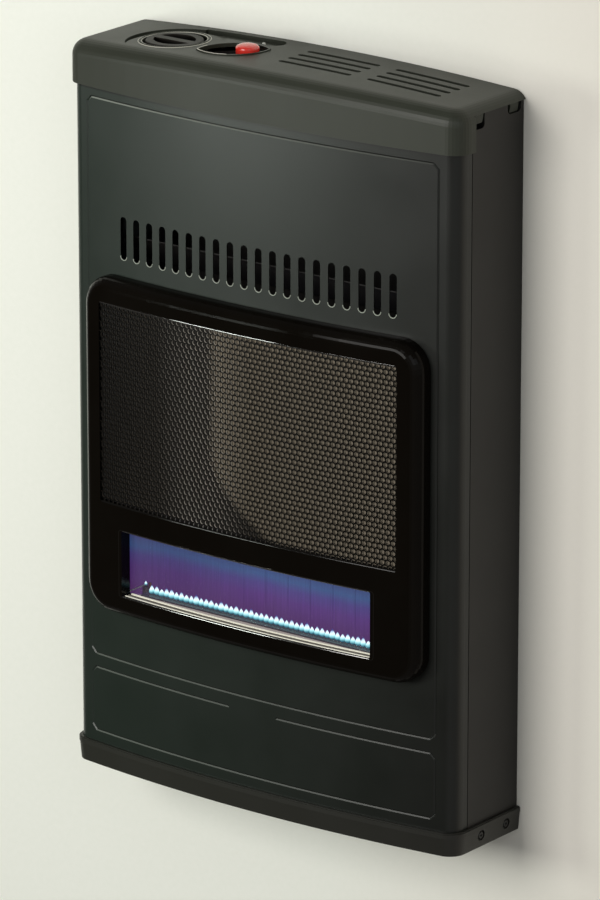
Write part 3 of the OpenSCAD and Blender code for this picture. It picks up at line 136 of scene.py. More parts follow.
class Graph:
    """The node tree of one material or world."""

    def __init__(self, name: str, owner: Optional[bpy.types.ID] = None) -> None:
        """Makes an empty material.

        Args:
            name: The material's name.
            owner: A world to use instead of a new material.
        """
        self.material = owner or bpy.data.materials.new(name)
        self.material.use_nodes = True
        self.tree = self.material.node_tree
        self.tree.nodes.clear()

    def node(self, kind: str, settings: Optional[dict] = None,
             inputs: Optional[dict] = None) -> bpy.types.Node:
        """Adds a node: settings first, then the values or links of its sockets.

        Args:
            kind: The node's type.
            settings: Its properties; "stops" is a ramp's list of (place, colour).
            inputs: Socket name or number to a value or another socket.

        Returns:
            The node.
        """
        made = self.tree.nodes.new(kind)
        for key, value in (settings or {}).items():
            if key == "stops":
                ramp = made.color_ramp
                while len(ramp.elements) < len(value):
                    ramp.elements.new(1.0)
                for element, (at, colour) in zip(ramp.elements, value):
                    element.position = at
                    element.color = (*colour, 1.0)
            else:
                setattr(made, key, value)
        for key, value in (inputs or {}).items():
            target = made.inputs[key]
            if isinstance(value, Sock):
                self.tree.links.new(value.socket, target)
            elif isinstance(value, tuple) and target.type == "RGBA":
                target.default_value = (*value[:3], 1.0)
            else:
                target.default_value = value
        return made

    def sock(self, kind: str, settings: Optional[dict] = None, inputs: Optional[dict] = None,
             output: Union[int, str] = 0) -> Sock:
        """Adds a node and gives one of its outputs.

        Args:
            kind: The node's type.
            settings: Its properties.
            inputs: Its socket values or links.
            output: The output's name or number.

        Returns:
            The output as a socket for expressions.
        """
        return Sock(self, self.node(kind, settings, inputs).outputs[output])

    def coords(self, scale: tuple = (1.0, 1.0, 1.0)) -> Sock:
        """Object coordinates, scaled.

        Args:
            scale: Scale along X, Y and Z.

        Returns:
            The mapped coordinates.
        """
        raw = self.sock("ShaderNodeTexCoord", output="Object")
        return self.sock("ShaderNodeMapping", {}, {"Vector": raw, "Scale": scale})

    def axis(self, name: str, vector: Optional[Sock] = None) -> Sock:
        """One component of a vector, or else of the place on the object.

        Args:
            name: X, Y or Z.
            vector: The vector.

        Returns:
            The component.
        """
        return self.sock("ShaderNodeSeparateXYZ", {}, {0: vector or self.coords()}, output=name)

    def noise(self, scale: float, detail: float = 2.0, stretch: tuple = (1.0, 1.0, 1.0)) -> Sock:
        """Noise from 0 to 1 at a number of cells per metre."""
        return self.sock("ShaderNodeTexNoise", {},
                         {"Vector": self.coords(stretch), "Scale": scale, "Detail": detail})

    def ramp(self, value: Sock, source: tuple, target: tuple, clamp: bool = True) -> Sock:
        """Maps one range to another.

        Args:
            value: What is mapped.
            source: Where its range starts and ends.
            target: What the start and the end become.
            clamp: Whether it stays within the target.

        Returns:
            The mapped value.
        """
        return self.sock("ShaderNodeMapRange", {"clamp": clamp}, {
            "Value": value, 1: source[0], 2: source[1], 3: target[0], 4: target[1]})

    def bands(self, share: Sock, stops: list) -> Sock:
        """Colours from a list of (place, colour)."""
        return self.sock("ShaderNodeValToRGB", {"stops": stops}, {"Fac": share})

    def dot(self, a: Sock, b: Input) -> Sock:
        """How far two directions agree."""
        return self.sock("ShaderNodeVectorMath", {"operation": "DOT_PRODUCT"}, {0: a, 1: b},
                         output="Value")

    def mix(self, factor: Input, a: Input, b: Input) -> Sock:
        """Mixes two colours.

        Args:
            factor: Share of the second colour.
            a: First colour.
            b: Second colour.

        Returns:
            The mixed colour.
        """
        made = self.node("ShaderNodeMix", {"data_type": "RGBA"})
        for index, value in ((0, factor), (6, a), (7, b)):
            if isinstance(value, Sock):
                self.tree.links.new(value.socket, made.inputs[index])
            elif index:
                made.inputs[index].default_value = (*value, 1.0)
            else:
                made.inputs[index].default_value = value
        return Sock(self, made.outputs[2])

    def bump(self, height: Sock, depth: float) -> Sock:
        """A normal raised by a height.

        Args:
            height: The height from 0 to 1.
            depth: What 1 stands for, in millimetres.

        Returns:
            The normal.
        """
        return self.sock("ShaderNodeBump", {}, {
            "Height": height, "Distance": depth * MM, "Strength": 1.0})

    def surface(self, inputs: dict) -> bpy.types.Material:
        """Closes the material with one Principled surface.

        Args:
            inputs: The shader's socket values or links.

        Returns:
            The finished material.
        """
        shader = self.sock("ShaderNodeBsdfPrincipled", {}, inputs)
        self.node("ShaderNodeOutputMaterial", {}, {"Surface": shader})
        return self.material


class Grain(Enum):
    """How a surface is structured."""

    ENAMEL = "fine orange peel of stoved paint"
    MOULDED = "leathery grain of a moulding tool"
    POLISHED = "smooth moulding with faint smears"
    ROLLED = "fine lines along the sheet"
    SPANGLED = "crystal pattern of zinc plating"
    TURNED = "fine rings of a lathe"
    CAST = "sandy skin of a casting"


# Edges: radius in millimetres of their lightening, partly wear and partly painted highlight,
# and the turn of the normal from which it shows
EDGE_WEAR_AND_HIGHLIGHT_RADIUS = 0.9
EDGE_WEAR_AND_HIGHLIGHT_RANGE = (0.02, 0.3)
# Shade in a well: its colour, and the millimetres over which it sets in
WELL_SHADE = srgb(10, 9, 8)
WELL_FADE = 1.5
# Beads with painted highlight and shade: the side from which they look lit, the tilts between
# which that shows, the heights in metres between which it grows, and their two painted colours
BEAD_LIGHT = (-0.45, 0.0, 0.9)
BEAD_TILT = (0.12, 0.4)
BEAD_RISE = (-0.1, 0.25)
BEAD_PAINTED_HIGHLIGHT = srgb(128, 134, 126)
BEAD_PAINTED_SHADE = srgb(5, 5, 4)
# Half widths in millimetres between which the flat front passes into its rounded sides
FLAT_HALF = (190.0, 195.45)
# Millimetres under the cap's lower edge between which its painted shadow darkens
PAINTED_CAP_SHADOW_SPAN = (3.4, 2.2)
PAINTED_CAP_SHADOW = srgb(6, 6, 5)
# Places across, in metres, between which a finish passes into its painted shade at the right
PAINTED_SHADE_RIGHT_SPAN = (-0.17, 0.2)


@dataclass(frozen=True)
class Finish:
    """One finish with its grain and mottling.

    Attributes:
        name: The material's name.
        colour: Its colour.
        grain: How its surface is structured.
        roughness: How matt it is.
        metallic: How metallic it is.
        coat: Weight of its clear coat.
        coat_ior: How strongly the coat reflects.
        coat_above: Height over the tray above which the coat is there, or 0 for all over.
        depth: Depth of its grain in millimetres.
        mottle: How far its colour wanders.
        edge: How much lighter its edges look, partly from wear and partly as painted highlight.
        shade_below: Height over the tray below which it lies in shade, or 0 for none.
        specular: Strength of its gloss.
        right: Its painted shade at the right hand side, if it has one.
        glow: Strength of a painted glow that stands in for light falling on it.
        painted_relief_light: Whether it gets painted highlight and shade on the front's beads and
            a painted shadow under the cap.
    """

    name: str
    colour: Colour
    grain: Grain
    roughness: float
    metallic: float = 0.0
    coat: float = 0.0
    coat_ior: float = 1.5
    coat_above: float = 0.0
    depth: float = 0.01
    mottle: float = 0.12
    edge: float = 0.0
    shade_below: float = 0.0
    specular: float = 0.5
    right: Optional[Colour] = None
    glow: float = 0.0
    painted_relief_light: bool = False

    def _height(self, graph: Graph) -> Sock:
        """Height of the grain, from 0 to 1.

        Args:
            graph: The finish's graph.

        Returns:
            The height.
        """
        if self.grain is Grain.ENAMEL:
            return graph.noise(1300.0, 1.0)
        if self.grain is Grain.MOULDED:
            cells = graph.sock("ShaderNodeTexVoronoi", {"feature": "SMOOTH_F1"},
                               {"Vector": graph.coords(), "Scale": 1500.0, "Smoothness": 0.6})
            return cells * 0.7 + graph.noise(3200.0, 1.0) * 0.3
        if self.grain is Grain.POLISHED:
            return graph.noise(60.0, 2.0)
        if self.grain is Grain.ROLLED:
            return graph.noise(900.0, 2.0, (0.04, 1.0, 1.0))
        if self.grain is Grain.SPANGLED:
            return graph.sock("ShaderNodeTexVoronoi", {},
                              {"Vector": graph.coords(), "Scale": 130.0})
        if self.grain is Grain.TURNED:
            return graph.noise(2500.0, 1.0, (0.03, 0.03, 1.0))
        return graph.noise(1000.0, 4.0)

    def _wear_and_highlight_edges(self, graph: Graph, colour: Sock) -> Sock:
        """Lightens the edges, where the rounded normal leaves the plain one: wear and painted
        highlight.

        Args:
            graph: The finish's graph.
            colour: The colour so far.

        Returns:
            The colour with edges lightened by wear and painted highlight.
        """
        rounded = graph.sock("ShaderNodeBevel", {"samples": 4}, {"Radius": EDGE_WEAR_AND_HIGHLIGHT_RADIUS * MM})
        plain = graph.sock("ShaderNodeNewGeometry", output="Normal")
        # Lighter edges: partly wear, partly painted highlight
        wear_and_highlight = graph.ramp(1.0 - graph.dot(rounded, plain), EDGE_WEAR_AND_HIGHLIGHT_RANGE, (0.0, self.edge))
        return graph.mix(wear_and_highlight, colour, tuple(min(1.0, c * 2.2 + 0.03) for c in self.colour))

    def _shaded(self, graph: Graph, colour: Sock) -> Sock:
        """Darkens what lies below the rim of a well.

        Args:
            graph: The finish's graph.
            colour: The colour so far.

        Returns:
            The colour with the shade.
        """
        rim = metres_up(self.shade_below)
        share = graph.ramp(graph.axis("Z"), (rim - WELL_FADE * MM, rim), (0.85, 0.0))
        return graph.mix(share, colour, WELL_SHADE)

    def _paint_relief_light(self, graph: Graph, colour: Sock) -> Sock:
        """Paints highlight and shade on the front's pressed beads, and a shadow under the cap.

        Args:
            graph: The finish's graph.
            colour: The colour so far.

        Returns:
            The colour with the painted light on the beads and the painted shadow under the cap.
        """
        normal = graph.sock("ShaderNodeNewGeometry", output="True Normal")
        tilt = graph.dot(normal, BEAD_LIGHT)
        x, z = graph.axis("X"), graph.axis("Z")
        flat = graph.ramp(x * x, tuple((half * MM) ** 2 for half in FLAT_HALF), (1.0, 0.0))
        low, high = BEAD_TILT
        # Painted highlight on slopes that face up, painted shade on slopes that face down
        upper = graph.ramp(tilt, (low, high), (0.0, 1.0)) * graph.ramp(z, BEAD_RISE, (0.4, 1.0))
        under = graph.ramp(tilt, (-high, -low), (0.9, 0.0))
        colour = graph.mix(upper * flat, colour, BEAD_PAINTED_HIGHLIGHT)
        colour = graph.mix(under * flat, colour, BEAD_PAINTED_SHADE)
        # Painted shadow under the cap's lower edge
        painted_cap_shadow = graph.ramp(z, tuple(metres_up(CAP_Z - below) for below in PAINTED_CAP_SHADOW_SPAN), (0.0, 0.85))
        return graph.mix(painted_cap_shadow, colour, PAINTED_CAP_SHADOW)

    def _coat(self, graph: Graph) -> Input:
        """Weight of the coat, which may be there only above a height.

        Args:
            graph: The finish's graph.

        Returns:
            The weight, as a number or a socket.
        """
        if not self.coat_above:
            return self.coat
        start = metres_up(self.coat_above)
        return graph.ramp(graph.axis("Z"), (start - 0.01, start + 0.01), (0.05, self.coat))

    def material(self) -> bpy.types.Material:
        """Builds the finish as a node tree.

        Returns:
            The material.
        """
        graph = Graph(self.name)
        height = self._height(graph)
        clouds = graph.noise(14.0, 4.0)
        light = tuple(min(1.0, c * (1.0 + self.mottle) + 0.002) for c in self.colour)
        dark = tuple(c * (1.0 - self.mottle) for c in self.colour)
        colour = graph.mix(clouds, dark, light)
        colour = graph.mix(height * 0.35, colour, dark)
        if self.edge:
            colour = self._wear_and_highlight_edges(graph, colour)
        if self.shade_below:
            colour = self._shaded(graph, colour)
        # Painted highlight and shade on the beads, painted shadow under the cap
        if self.painted_relief_light:
            colour = self._paint_relief_light(graph, colour)
        # Painted shade: darker towards the right hand side
        if self.right:
            share = graph.ramp(graph.axis("X"), PAINTED_SHADE_RIGHT_SPAN, (0.0, 0.85))
            colour = graph.mix(share, colour, self.right)
        inputs = {
            "Base Color": colour,
            "Roughness": (clouds - 0.5) * 0.16 + (height - 0.5) * 0.08 + self.roughness,
            "Metallic": self.metallic,
            "Specular IOR Level": self.specular,
            "Normal": graph.bump(height, self.depth),
        }
        if self.coat:
            inputs["Coat Weight"] = self._coat(graph)
            inputs["Coat Roughness"] = 0.06
            inputs["Coat IOR"] = self.coat_ior
        # Painted glow, standing in for light falling on the part
        if self.glow:
            inputs["Emission Color"] = colour
            inputs["Emission Strength"] = self.glow
        return graph.surface(inputs)


@dataclass(frozen=True)
class HeatTint:
    """Stainless sheet behind the flames, tinted by heat, with a painted glow for their light on
    it.

    Attributes:
        name: The material's name.
        glow: Strength of the painted glow that stands in for the flames' light on it.
        span: Heights over the tray between which its bands lie.
        sheet_y: Place in depth of the flat sheet.
        lean: How far the bands rise on the wings, for each millimetre forwards.
    """

    name: str = "heat_tinted_steel"
    glow: float = 1.0
    span: tuple = (150.0, 225.0)
    sheet_y: float = -23.3
    lean: float = 0.4

    def material(self) -> bpy.types.Material:
        """Builds the tint as bands over the height, with painted shade making it dark behind the
        grille.

        Returns:
            The material.
        """
        graph = Graph(self.name)
        low, high = (metres_up(z) for z in self.span)
        wave = graph.noise(25.0, 2.0, (1.0, 1.0, 0.4))
        share = graph.ramp(graph.axis("Z"), (low, high), (0.0, 1.0), clamp=False)
        share = share + (wave - 0.5) * 0.08
        share = share + (graph.axis("Y") - self.sheet_y * MM) * (self.lean / (high - low))
        tint = graph.bands(share, [
            (0.0, srgb(84, 42, 104)), (0.3, srgb(80, 46, 116)), (0.45, srgb(70, 60, 124)),
            (0.56, srgb(54, 84, 132)), (0.64, srgb(56, 78, 126)), (0.75, srgb(66, 62, 112)),
            (0.85, srgb(60, 44, 80)), (0.94, srgb(14, 12, 18)), (1.0, srgb(9, 8, 8))])
        lines = graph.noise(700.0, 2.0, (1.0, 1.0, 0.03))
        return graph.surface({
            "Base Color": graph.mix(lines * 0.4, tint, srgb(12, 10, 20)),
            "Roughness": lines * 0.2 + 0.4,
            "Metallic": 0.3,
            "Specular IOR Level": 0.1,
            "Normal": graph.bump(lines, 0.01),
            # Painted glow: the flames' light on the sheet
            "Emission Color": graph.mix(lines * 0.5, tint, (0.0, 0.0, 0.0)),
            "Emission Strength": self.glow,
        })


@dataclass(frozen=True)
class PerforatedSheet:
    """Black sheet whose holes have pale cut edges, with painted glints and painted shade on them.

    Attributes:
        name: The material's name.
        face: Colour of its faces.
        cut: Colour of the cut edges.
        glint: Their painted highlight colour where they are brightest.
        shadowed_cut: Their painted shade colour at the far left.
        glint_span: Places across, in metres, between which the edges pass from painted shade to
            painted glints.
    """

    name: str = "perforated_black"
    face: Colour = srgb(9, 8, 6)
    cut: Colour = srgb(134, 125, 112)
    glint: Colour = srgb(255, 248, 236)
    shadowed_cut: Colour = srgb(76, 68, 60)
    glint_span: tuple = (-0.17, 0.01)

    def material(self) -> bpy.types.Material:
        """Builds the colours from the way that each face looks and the place across.

        Returns:
            The material.
        """
        graph = Graph(self.name)
        # Cut edges: painted shade at the far left, painted glints towards the middle
        cut = graph.bands(graph.ramp(graph.axis("X"), self.glint_span, (0.0, 1.0)), [
            (0.0, self.shadowed_cut), (0.4, self.cut), (0.62, self.glint),
            (0.8, self.glint), (1.0, self.cut)])
        normal = graph.sock("ShaderNodeNewGeometry", output="True Normal")
        depth = graph.axis("Y", normal)
        share = graph.ramp(depth * depth, (0.2, 0.6), (1.0, 0.0))
        peel = graph.noise(1300.0, 1.0)
        return graph.surface({
            "Base Color": graph.mix(share, self.face, cut),
            "Roughness": peel * 0.1 + 0.25,
            "Specular IOR Level": 0.15,
            "Normal": graph.bump(peel, 0.004),
        })


@dataclass(frozen=True)
class Gauze:
    """Fine gauze close behind the perforated sheet, with painted shadow on its left side.

    Attributes:
        name: The material's name.
        unshaded: Colour where no painted shadow lies.
        shadow_border: Colour of the painted shadow at its border.
        left: Colour of the painted shadow at the far left.
        border_x: Place across, in metres, of the painted shadow's border.
        border_curve: How fast the border runs to the right below the middle.
        blur: Half the border's width in metres.
        fade: Places across, in metres, between which the painted shadow thins out.
    """

    name: str = "fine_gauze"
    unshaded: Colour = srgb(128, 118, 103)
    shadow_border: Colour = srgb(30, 25, 21)
    left: Colour = srgb(12, 9, 8)
    border_x: float = -0.033
    border_curve: float = 12.5
    blur: float = 0.006
    fade: tuple = (-0.17, -0.04)

    def material(self) -> bpy.types.Material:
        """Builds the weave and the curved edge of the painted shadow.

        Returns:
            The material.
        """
        graph = Graph(self.name)
        x, z = graph.axis("X"), graph.axis("Z")
        low = graph.sock("ShaderNodeMath", {"operation": "MINIMUM"}, {0: z, 1: 0.0})
        # Painted shadow on the left, with a curved border
        past = x - self.border_x - low * low * self.border_curve
        share = graph.ramp(past, (-self.blur, self.blur), (0.0, 1.0))
        fade = graph.ramp(x, self.fade, (0.0, 1.0))
        weave = graph.noise(1500.0, 1.0)
        return graph.surface({
            "Base Color": graph.mix(share, graph.mix(fade, self.left, self.shadow_border), self.unshaded),
            "Roughness": weave * 0.2 + 0.5,
            "Metallic": 0.2,
            "Normal": graph.bump(weave, 0.05),
        })


@dataclass(frozen=True)
class RibbedRail:
    """Strip with polished ribs and grooves along the bow, ribs pale as painted highlights, grooves
    dark as painted shade.

    Attributes:
        name: The material's name.
        first: How far the first rib stands out from the panel's face.
        step: Distance from rib to rib.
        glow: Strength of the painted glow that stands in for the flames' light on it.
        bright: Colour of the ribs, pale as a painted highlight.
        dull: Colour of the middle rib, a dimmer painted highlight.
        groove: Colour of the grooves, dark as painted shade.
    """

    name: str = "ribbed_bright"
    first: float = 6.5
    step: float = 4.0
    glow: float = 0.35
    bright: Colour = srgb(246, 243, 226)
    dull: Colour = srgb(96, 92, 84)
    groove: Colour = srgb(20, 17, 14)

    def material(self) -> bpy.types.Material:
        """Builds the stripes from the distance to the bow's axis.

        Returns:
            The material.
        """
        graph = Graph(self.name)
        x = graph.axis("X")
        y = graph.axis("Y") - BOW_Y * MM
        out = (x * x + y * y) ** 0.5 - (BOW_R + self.first) * MM
        share = graph.ramp(out, (0.0, 3 * self.step * MM), (0.0, 1.0))
        stripes = graph.bands(share, [
            (0.0, self.bright), (0.14, self.bright), (0.18, self.groove), (0.3, self.groove),
            (0.33, self.dull), (0.47, self.dull), (0.5, self.groove), (0.64, self.groove),
            (0.66, self.bright), (0.8, self.bright), (0.84, self.groove), (1.0, self.groove)])
        smear = graph.noise(400.0, 2.0)
        return graph.surface({
            "Base Color": graph.mix(smear * 0.2, stripes, self.groove),
            "Roughness": smear * 0.15 + 0.2,
            "Metallic": 0.2,
            "Normal": graph.bump(smear, 0.004),
            # Painted glow for the flames' light on the ribs
            "Emission Color": stripes,
            "Emission Strength": self.glow,
        })


@dataclass(frozen=True)
class Pane:
    """Clear heat resistant sheet.

    Attributes:
        name: The material's name.
        tint: Its colour.
        alpha: How much it hides.
    """

    name: str = "window_pane"
    tint: Colour = (0.12, 0.10, 0.16)
    alpha: float = 0.12

    def material(self) -> bpy.types.Material:
        """Builds the pane as a thin see-through gloss.

        Returns:
            The material.
        """
        graph = Graph(self.name)
        smear = graph.noise(30.0, 3.0)
        return graph.surface({
            "Base Color": graph.mix(smear, self.tint, tuple(c * 1.5 for c in self.tint)),
            "Roughness": smear * 0.08 + 0.03,
            "Alpha": smear * 0.04 + self.alpha,
        })


@dataclass(frozen=True)
class Flame:
    """Burning gas: dark cyan at the foot, white in the middle and blue at the tip.

    Attributes:
        name: The material's name.
        foot_z: Height of its foot over the tray.
        height: Its height.
        strength: Strength of its light.
    """

    name: str
    foot_z: float
    height: float
    strength: float = 2.0

    def material(self) -> bpy.types.Material:
        """Builds the flame's colour over its height.

        Returns:
            The material.
        """
        graph = Graph(self.name)
        low = metres_up(self.foot_z)
        share = graph.ramp(graph.axis("Z"), (low, low + self.height * MM), (0.0, 1.0))
        share = share + (graph.noise(300.0, 1.0) - 0.5) * 0.12
        colour = graph.bands(share, [
            (0.0, srgb(8, 44, 56)), (0.2, srgb(30, 104, 118)), (0.4, srgb(150, 214, 220)),
            (0.6, srgb(232, 248, 250)), (0.85, srgb(176, 210, 236)), (1.0, srgb(40, 56, 130))])
        return graph.surface({
            "Base Color": (0.0, 0.0, 0.0),
            "Roughness": 1.0,
            "Alpha": 0.95 - share * 0.55,
            "Emission Color": colour,
            "Emission Strength": self.strength,
        })


# The front panel is darker at the right by painted shade
ENAMEL_FRONT = Finish("enamel_front", srgb(32, 41, 35), Grain.ENAMEL, 0.36, depth=0.012,
                      mottle=0.06, edge=0.2, specular=0.42, right=srgb(16, 15, 13), painted_relief_light=True)
ENAMEL_SIDE = Finish("enamel_side", srgb(25, 23, 20), Grain.ENAMEL, 0.5, depth=0.012,
                     mottle=0.06, edge=0.3, specular=0.4)
CAP_MOULDING = Finish("cap_moulding", srgb(46, 49, 40), Grain.MOULDED, 0.46, depth=0.02,
                      mottle=0.06, edge=0.2, specular=0.35)
# The tray is darker at the right by painted shade
TRAY_MOULDING = Finish("tray_moulding", srgb(33, 34, 27), Grain.MOULDED, 0.5, depth=0.02,
                       mottle=0.06, edge=0.2, right=srgb(24, 23, 18))
KNOB_MOULDING = Finish("knob_moulding", srgb(32, 29, 24), Grain.MOULDED, 0.45, depth=0.012,
                       mottle=0.05, edge=0.3, shade_below=692.4, specular=0.15)
INSERT_MOULDING = Finish("insert_moulding", srgb(22, 20, 18), Grain.MOULDED, 0.55, depth=0.015,
                         mottle=0.08)
BEZEL_GLOSS = Finish("bezel_gloss", srgb(11, 8, 5), Grain.POLISHED, 0.1, coat=0.02, depth=0.003,
                     mottle=0.1, specular=0.08)
BEZEL_EDGE = Finish("bezel_edge", srgb(12, 10, 8), Grain.POLISHED, 0.12, coat=1.0, coat_ior=2.2,
                    depth=0.002, mottle=0.1, specular=1.0)
GRILLE_EDGE = Finish("grille_edge", srgb(12, 10, 8), Grain.POLISHED, 0.12, coat=1.0, coat_ior=2.6,
                     coat_above=400.0, depth=0.002, mottle=0.1, specular=0.2)
# Pale half rings at the slots' lower ends: painted highlight
SLOT_HIGHLIGHT = Finish("slot_painted_highlight", srgb(164, 170, 158), Grain.ENAMEL, 0.36, depth=0.006, mottle=0.06)
SCREW_BLACK = Finish("blackened_screw", srgb(20, 20, 18), Grain.TURNED, 0.4, metallic=0.3,
                     depth=0.003, mottle=0.08)
ZINC_SHEET = Finish("zinc_sheet", srgb(176, 180, 182), Grain.SPANGLED, 0.42, metallic=1.0,
                    depth=0.004)
PLATED = Finish("plated_steel", srgb(190, 190, 184), Grain.TURNED, 0.32, metallic=1.0,
                depth=0.003, mottle=0.08)
BOX_ENAMEL = Finish("box_enamel", srgb(30, 27, 25), Grain.ENAMEL, 0.6, depth=0.012, mottle=0.2)
BURNER_STEEL = Finish("burner_steel", srgb(120, 112, 102), Grain.ROLLED, 0.45, metallic=0.9,
                      depth=0.006, mottle=0.2)
# The burner's case gets a painted glow for the flames' light on it
BURNER_CASE = Finish("burner_case", srgb(150, 142, 134), Grain.ROLLED, 0.5, metallic=0.3,
                     depth=0.006, mottle=0.2, glow=1.1)
BRASS = Finish("turned_brass", srgb(196, 164, 96), Grain.TURNED, 0.3, metallic=1.0,
               depth=0.004, mottle=0.1)
TUBE = Finish("drawn_tube", srgb(196, 196, 194), Grain.ROLLED, 0.3, metallic=1.0,
              depth=0.003, mottle=0.08)
VALVE_CAST = Finish("valve_casting", srgb(168, 166, 160), Grain.CAST, 0.5, metallic=0.9,
                    depth=0.03, mottle=0.1)
GENERATOR = Finish("generator_moulding", srgb(22, 22, 22), Grain.MOULDED, 0.45, mottle=0.1)
BUTTON_RED = Finish("button_red", srgb(224, 54, 44), Grain.POLISHED, 0.12, coat=0.7,
                    depth=0.003, mottle=0.05)
CERAMIC = Finish("glazed_ceramic", srgb(228, 224, 214), Grain.POLISHED, 0.2, coat=0.4,
                 depth=0.004, mottle=0.04)
SLEEVE = Finish("sleeve_rubber", srgb(120, 34, 28), Grain.CAST, 0.6, mottle=0.1)
COPPER = Finish("copper_lead", srgb(188, 118, 74), Grain.ROLLED, 0.35, metallic=1.0,
                depth=0.003)
# Pale rims on the cap's lips: painted highlight
RIM_HIGHLIGHT = Finish("rim_painted_highlight", srgb(206, 204, 192), Grain.POLISHED, 0.35, depth=0.003,
                   mottle=0.08)
DOT_PAINT = Finish("dot_paint", srgb(232, 232, 226), Grain.POLISHED, 0.4, depth=0.002,
                   mottle=0.03)

Look = Union[Finish, Flame, PerforatedSheet, Gauze]

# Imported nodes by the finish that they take
DRESS = {
    ENAMEL_FRONT: ["front_panel"],
    ENAMEL_SIDE: ["left_side_panel", "right_side_panel"],
    CAP_MOULDING: ["top_cap"],
    TRAY_MOULDING: ["base_tray"],
    KNOB_MOULDING: ["knob"],
    INSERT_MOULDING: ["control_plate"],
    BEZEL_GLOSS: ["bezel"],
    ZINC_SHEET: ["back_panel", "burner_brackets"],
    SCREW_BLACK: ["tray_screws"],
    PLATED: ["control_screws", "bezel_nuts", "glass_clips", "valve_nut", "igniter_nut",
             "knob_spring", "button_spring", "valve_spindle"],
    BOX_ENAMEL: ["firebox", "heat_deflector"],
    BURNER_CASE: ["burner"],
    BURNER_STEEL: ["burner_ports", "mixer_tube", "pilot_burner"],
    BRASS: ["injector", "gas_inlet", "valve_plunger"],
    TUBE: ["gas_pipe", "supply_pipe", "pilot_pipe"],
    VALVE_CAST: ["gas_valve"],
    GENERATOR: ["igniter_body"],
    BUTTON_RED: ["igniter_button"],
    CERAMIC: ["spark_electrode"],
    SLEEVE: ["spark_lead"],
    COPPER: ["thermocouple"],
    HeatTint(): ["reflector"],
    Pane(): ["window_glass"],
    RibbedRail(): ["window_rail"],
    PerforatedSheet(): ["grille"],
}


def swept(bm: bmesh.types.BMesh, wire: float, segments: int, start: Matrix, axis: tuple,
          sweep: float, steps: int) -> set:
    """Draws a ring of wire and spins it about an axis through the origin.

    Args:
        bm: The shape it joins.
        wire: The ring's radius.
        segments: The ring's count of sides.
        start: Where the ring stands at the start.
        axis: What it turns about.
        sweep: How far it turns, in radians; a full turn closes.
        steps: The count of its steps.

    Returns:
        The new vertices.
    """
    before = set(bm.verts)
    ring = bmesh.ops.create_circle(bm, segments=segments, radius=wire, matrix=start)["verts"]
    edges = list({edge for vert in ring for edge in vert.link_edges})
    bmesh.ops.spin(bm, geom=ring + edges, cent=(0, 0, 0), axis=axis, angle=sweep, steps=steps,
                   use_merge=math.isclose(sweep, math.tau))
    return set(bm.verts) - before


def linked(bm: bmesh.types.BMesh, name: str, material: bpy.types.Material) -> bpy.types.Object:
    """Turns a bmesh into an object of the scene.

    Args:
        bm: The shape, in metres, in the row's frame. It is freed.
        name: The object's name.
        material: What it is made of.

    Returns:
        The object.
    """
    mesh = bpy.data.meshes.new(name)
    bm.to_mesh(mesh)
    bm.free()
    made = bpy.data.objects.new(name, mesh)
    bpy.context.scene.collection.objects.link(made)
    mesh.materials.append(material)
    return made


def finished(bm: bmesh.types.BMesh, name: str, finish: Look, body: str,
             smooth: bool = True) -> bpy.types.Object:
    """Turns a bmesh into a piece that rides on a body.

    Args:
        bm: The shape, in metres, in the row's frame.
        name: The piece's name.
        finish: What it is made of.
        body: The body it moves with.
        smooth: Whether its faces are shaded smooth.

    Returns:
        The object.
    """
    bmesh.ops.remove_doubles(bm, verts=bm.verts, dist=1e-6)
    bmesh.ops.recalc_face_normals(bm, faces=bm.faces)
    for face in bm.faces:
        face.smooth = smooth
    piece = linked(bm, name, finish.material())
    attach(piece, body)
    return piece


@dataclass
class Solids:
    """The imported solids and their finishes."""

    faces: int = 0

    def dress(self) -> None:
        """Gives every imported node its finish."""
        for finish, nodes in DRESS.items():
            material = finish.material()
            for node in nodes:
                self._assign(node, material)

    def _assign(self, node: str, material: bpy.types.Material) -> None:
        """Puts a material in all the slots of a node.

        Args:
            node: The node's name.
            material: The material.
        """
        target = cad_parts[node]
        if not target.material_slots:
            target.data.materials.append(material)
        for slot in target.material_slots:
            slot.material = material
        self.faces += len(target.data.polygons)
        LOG.info("%s dressed in %s", node, material.name)


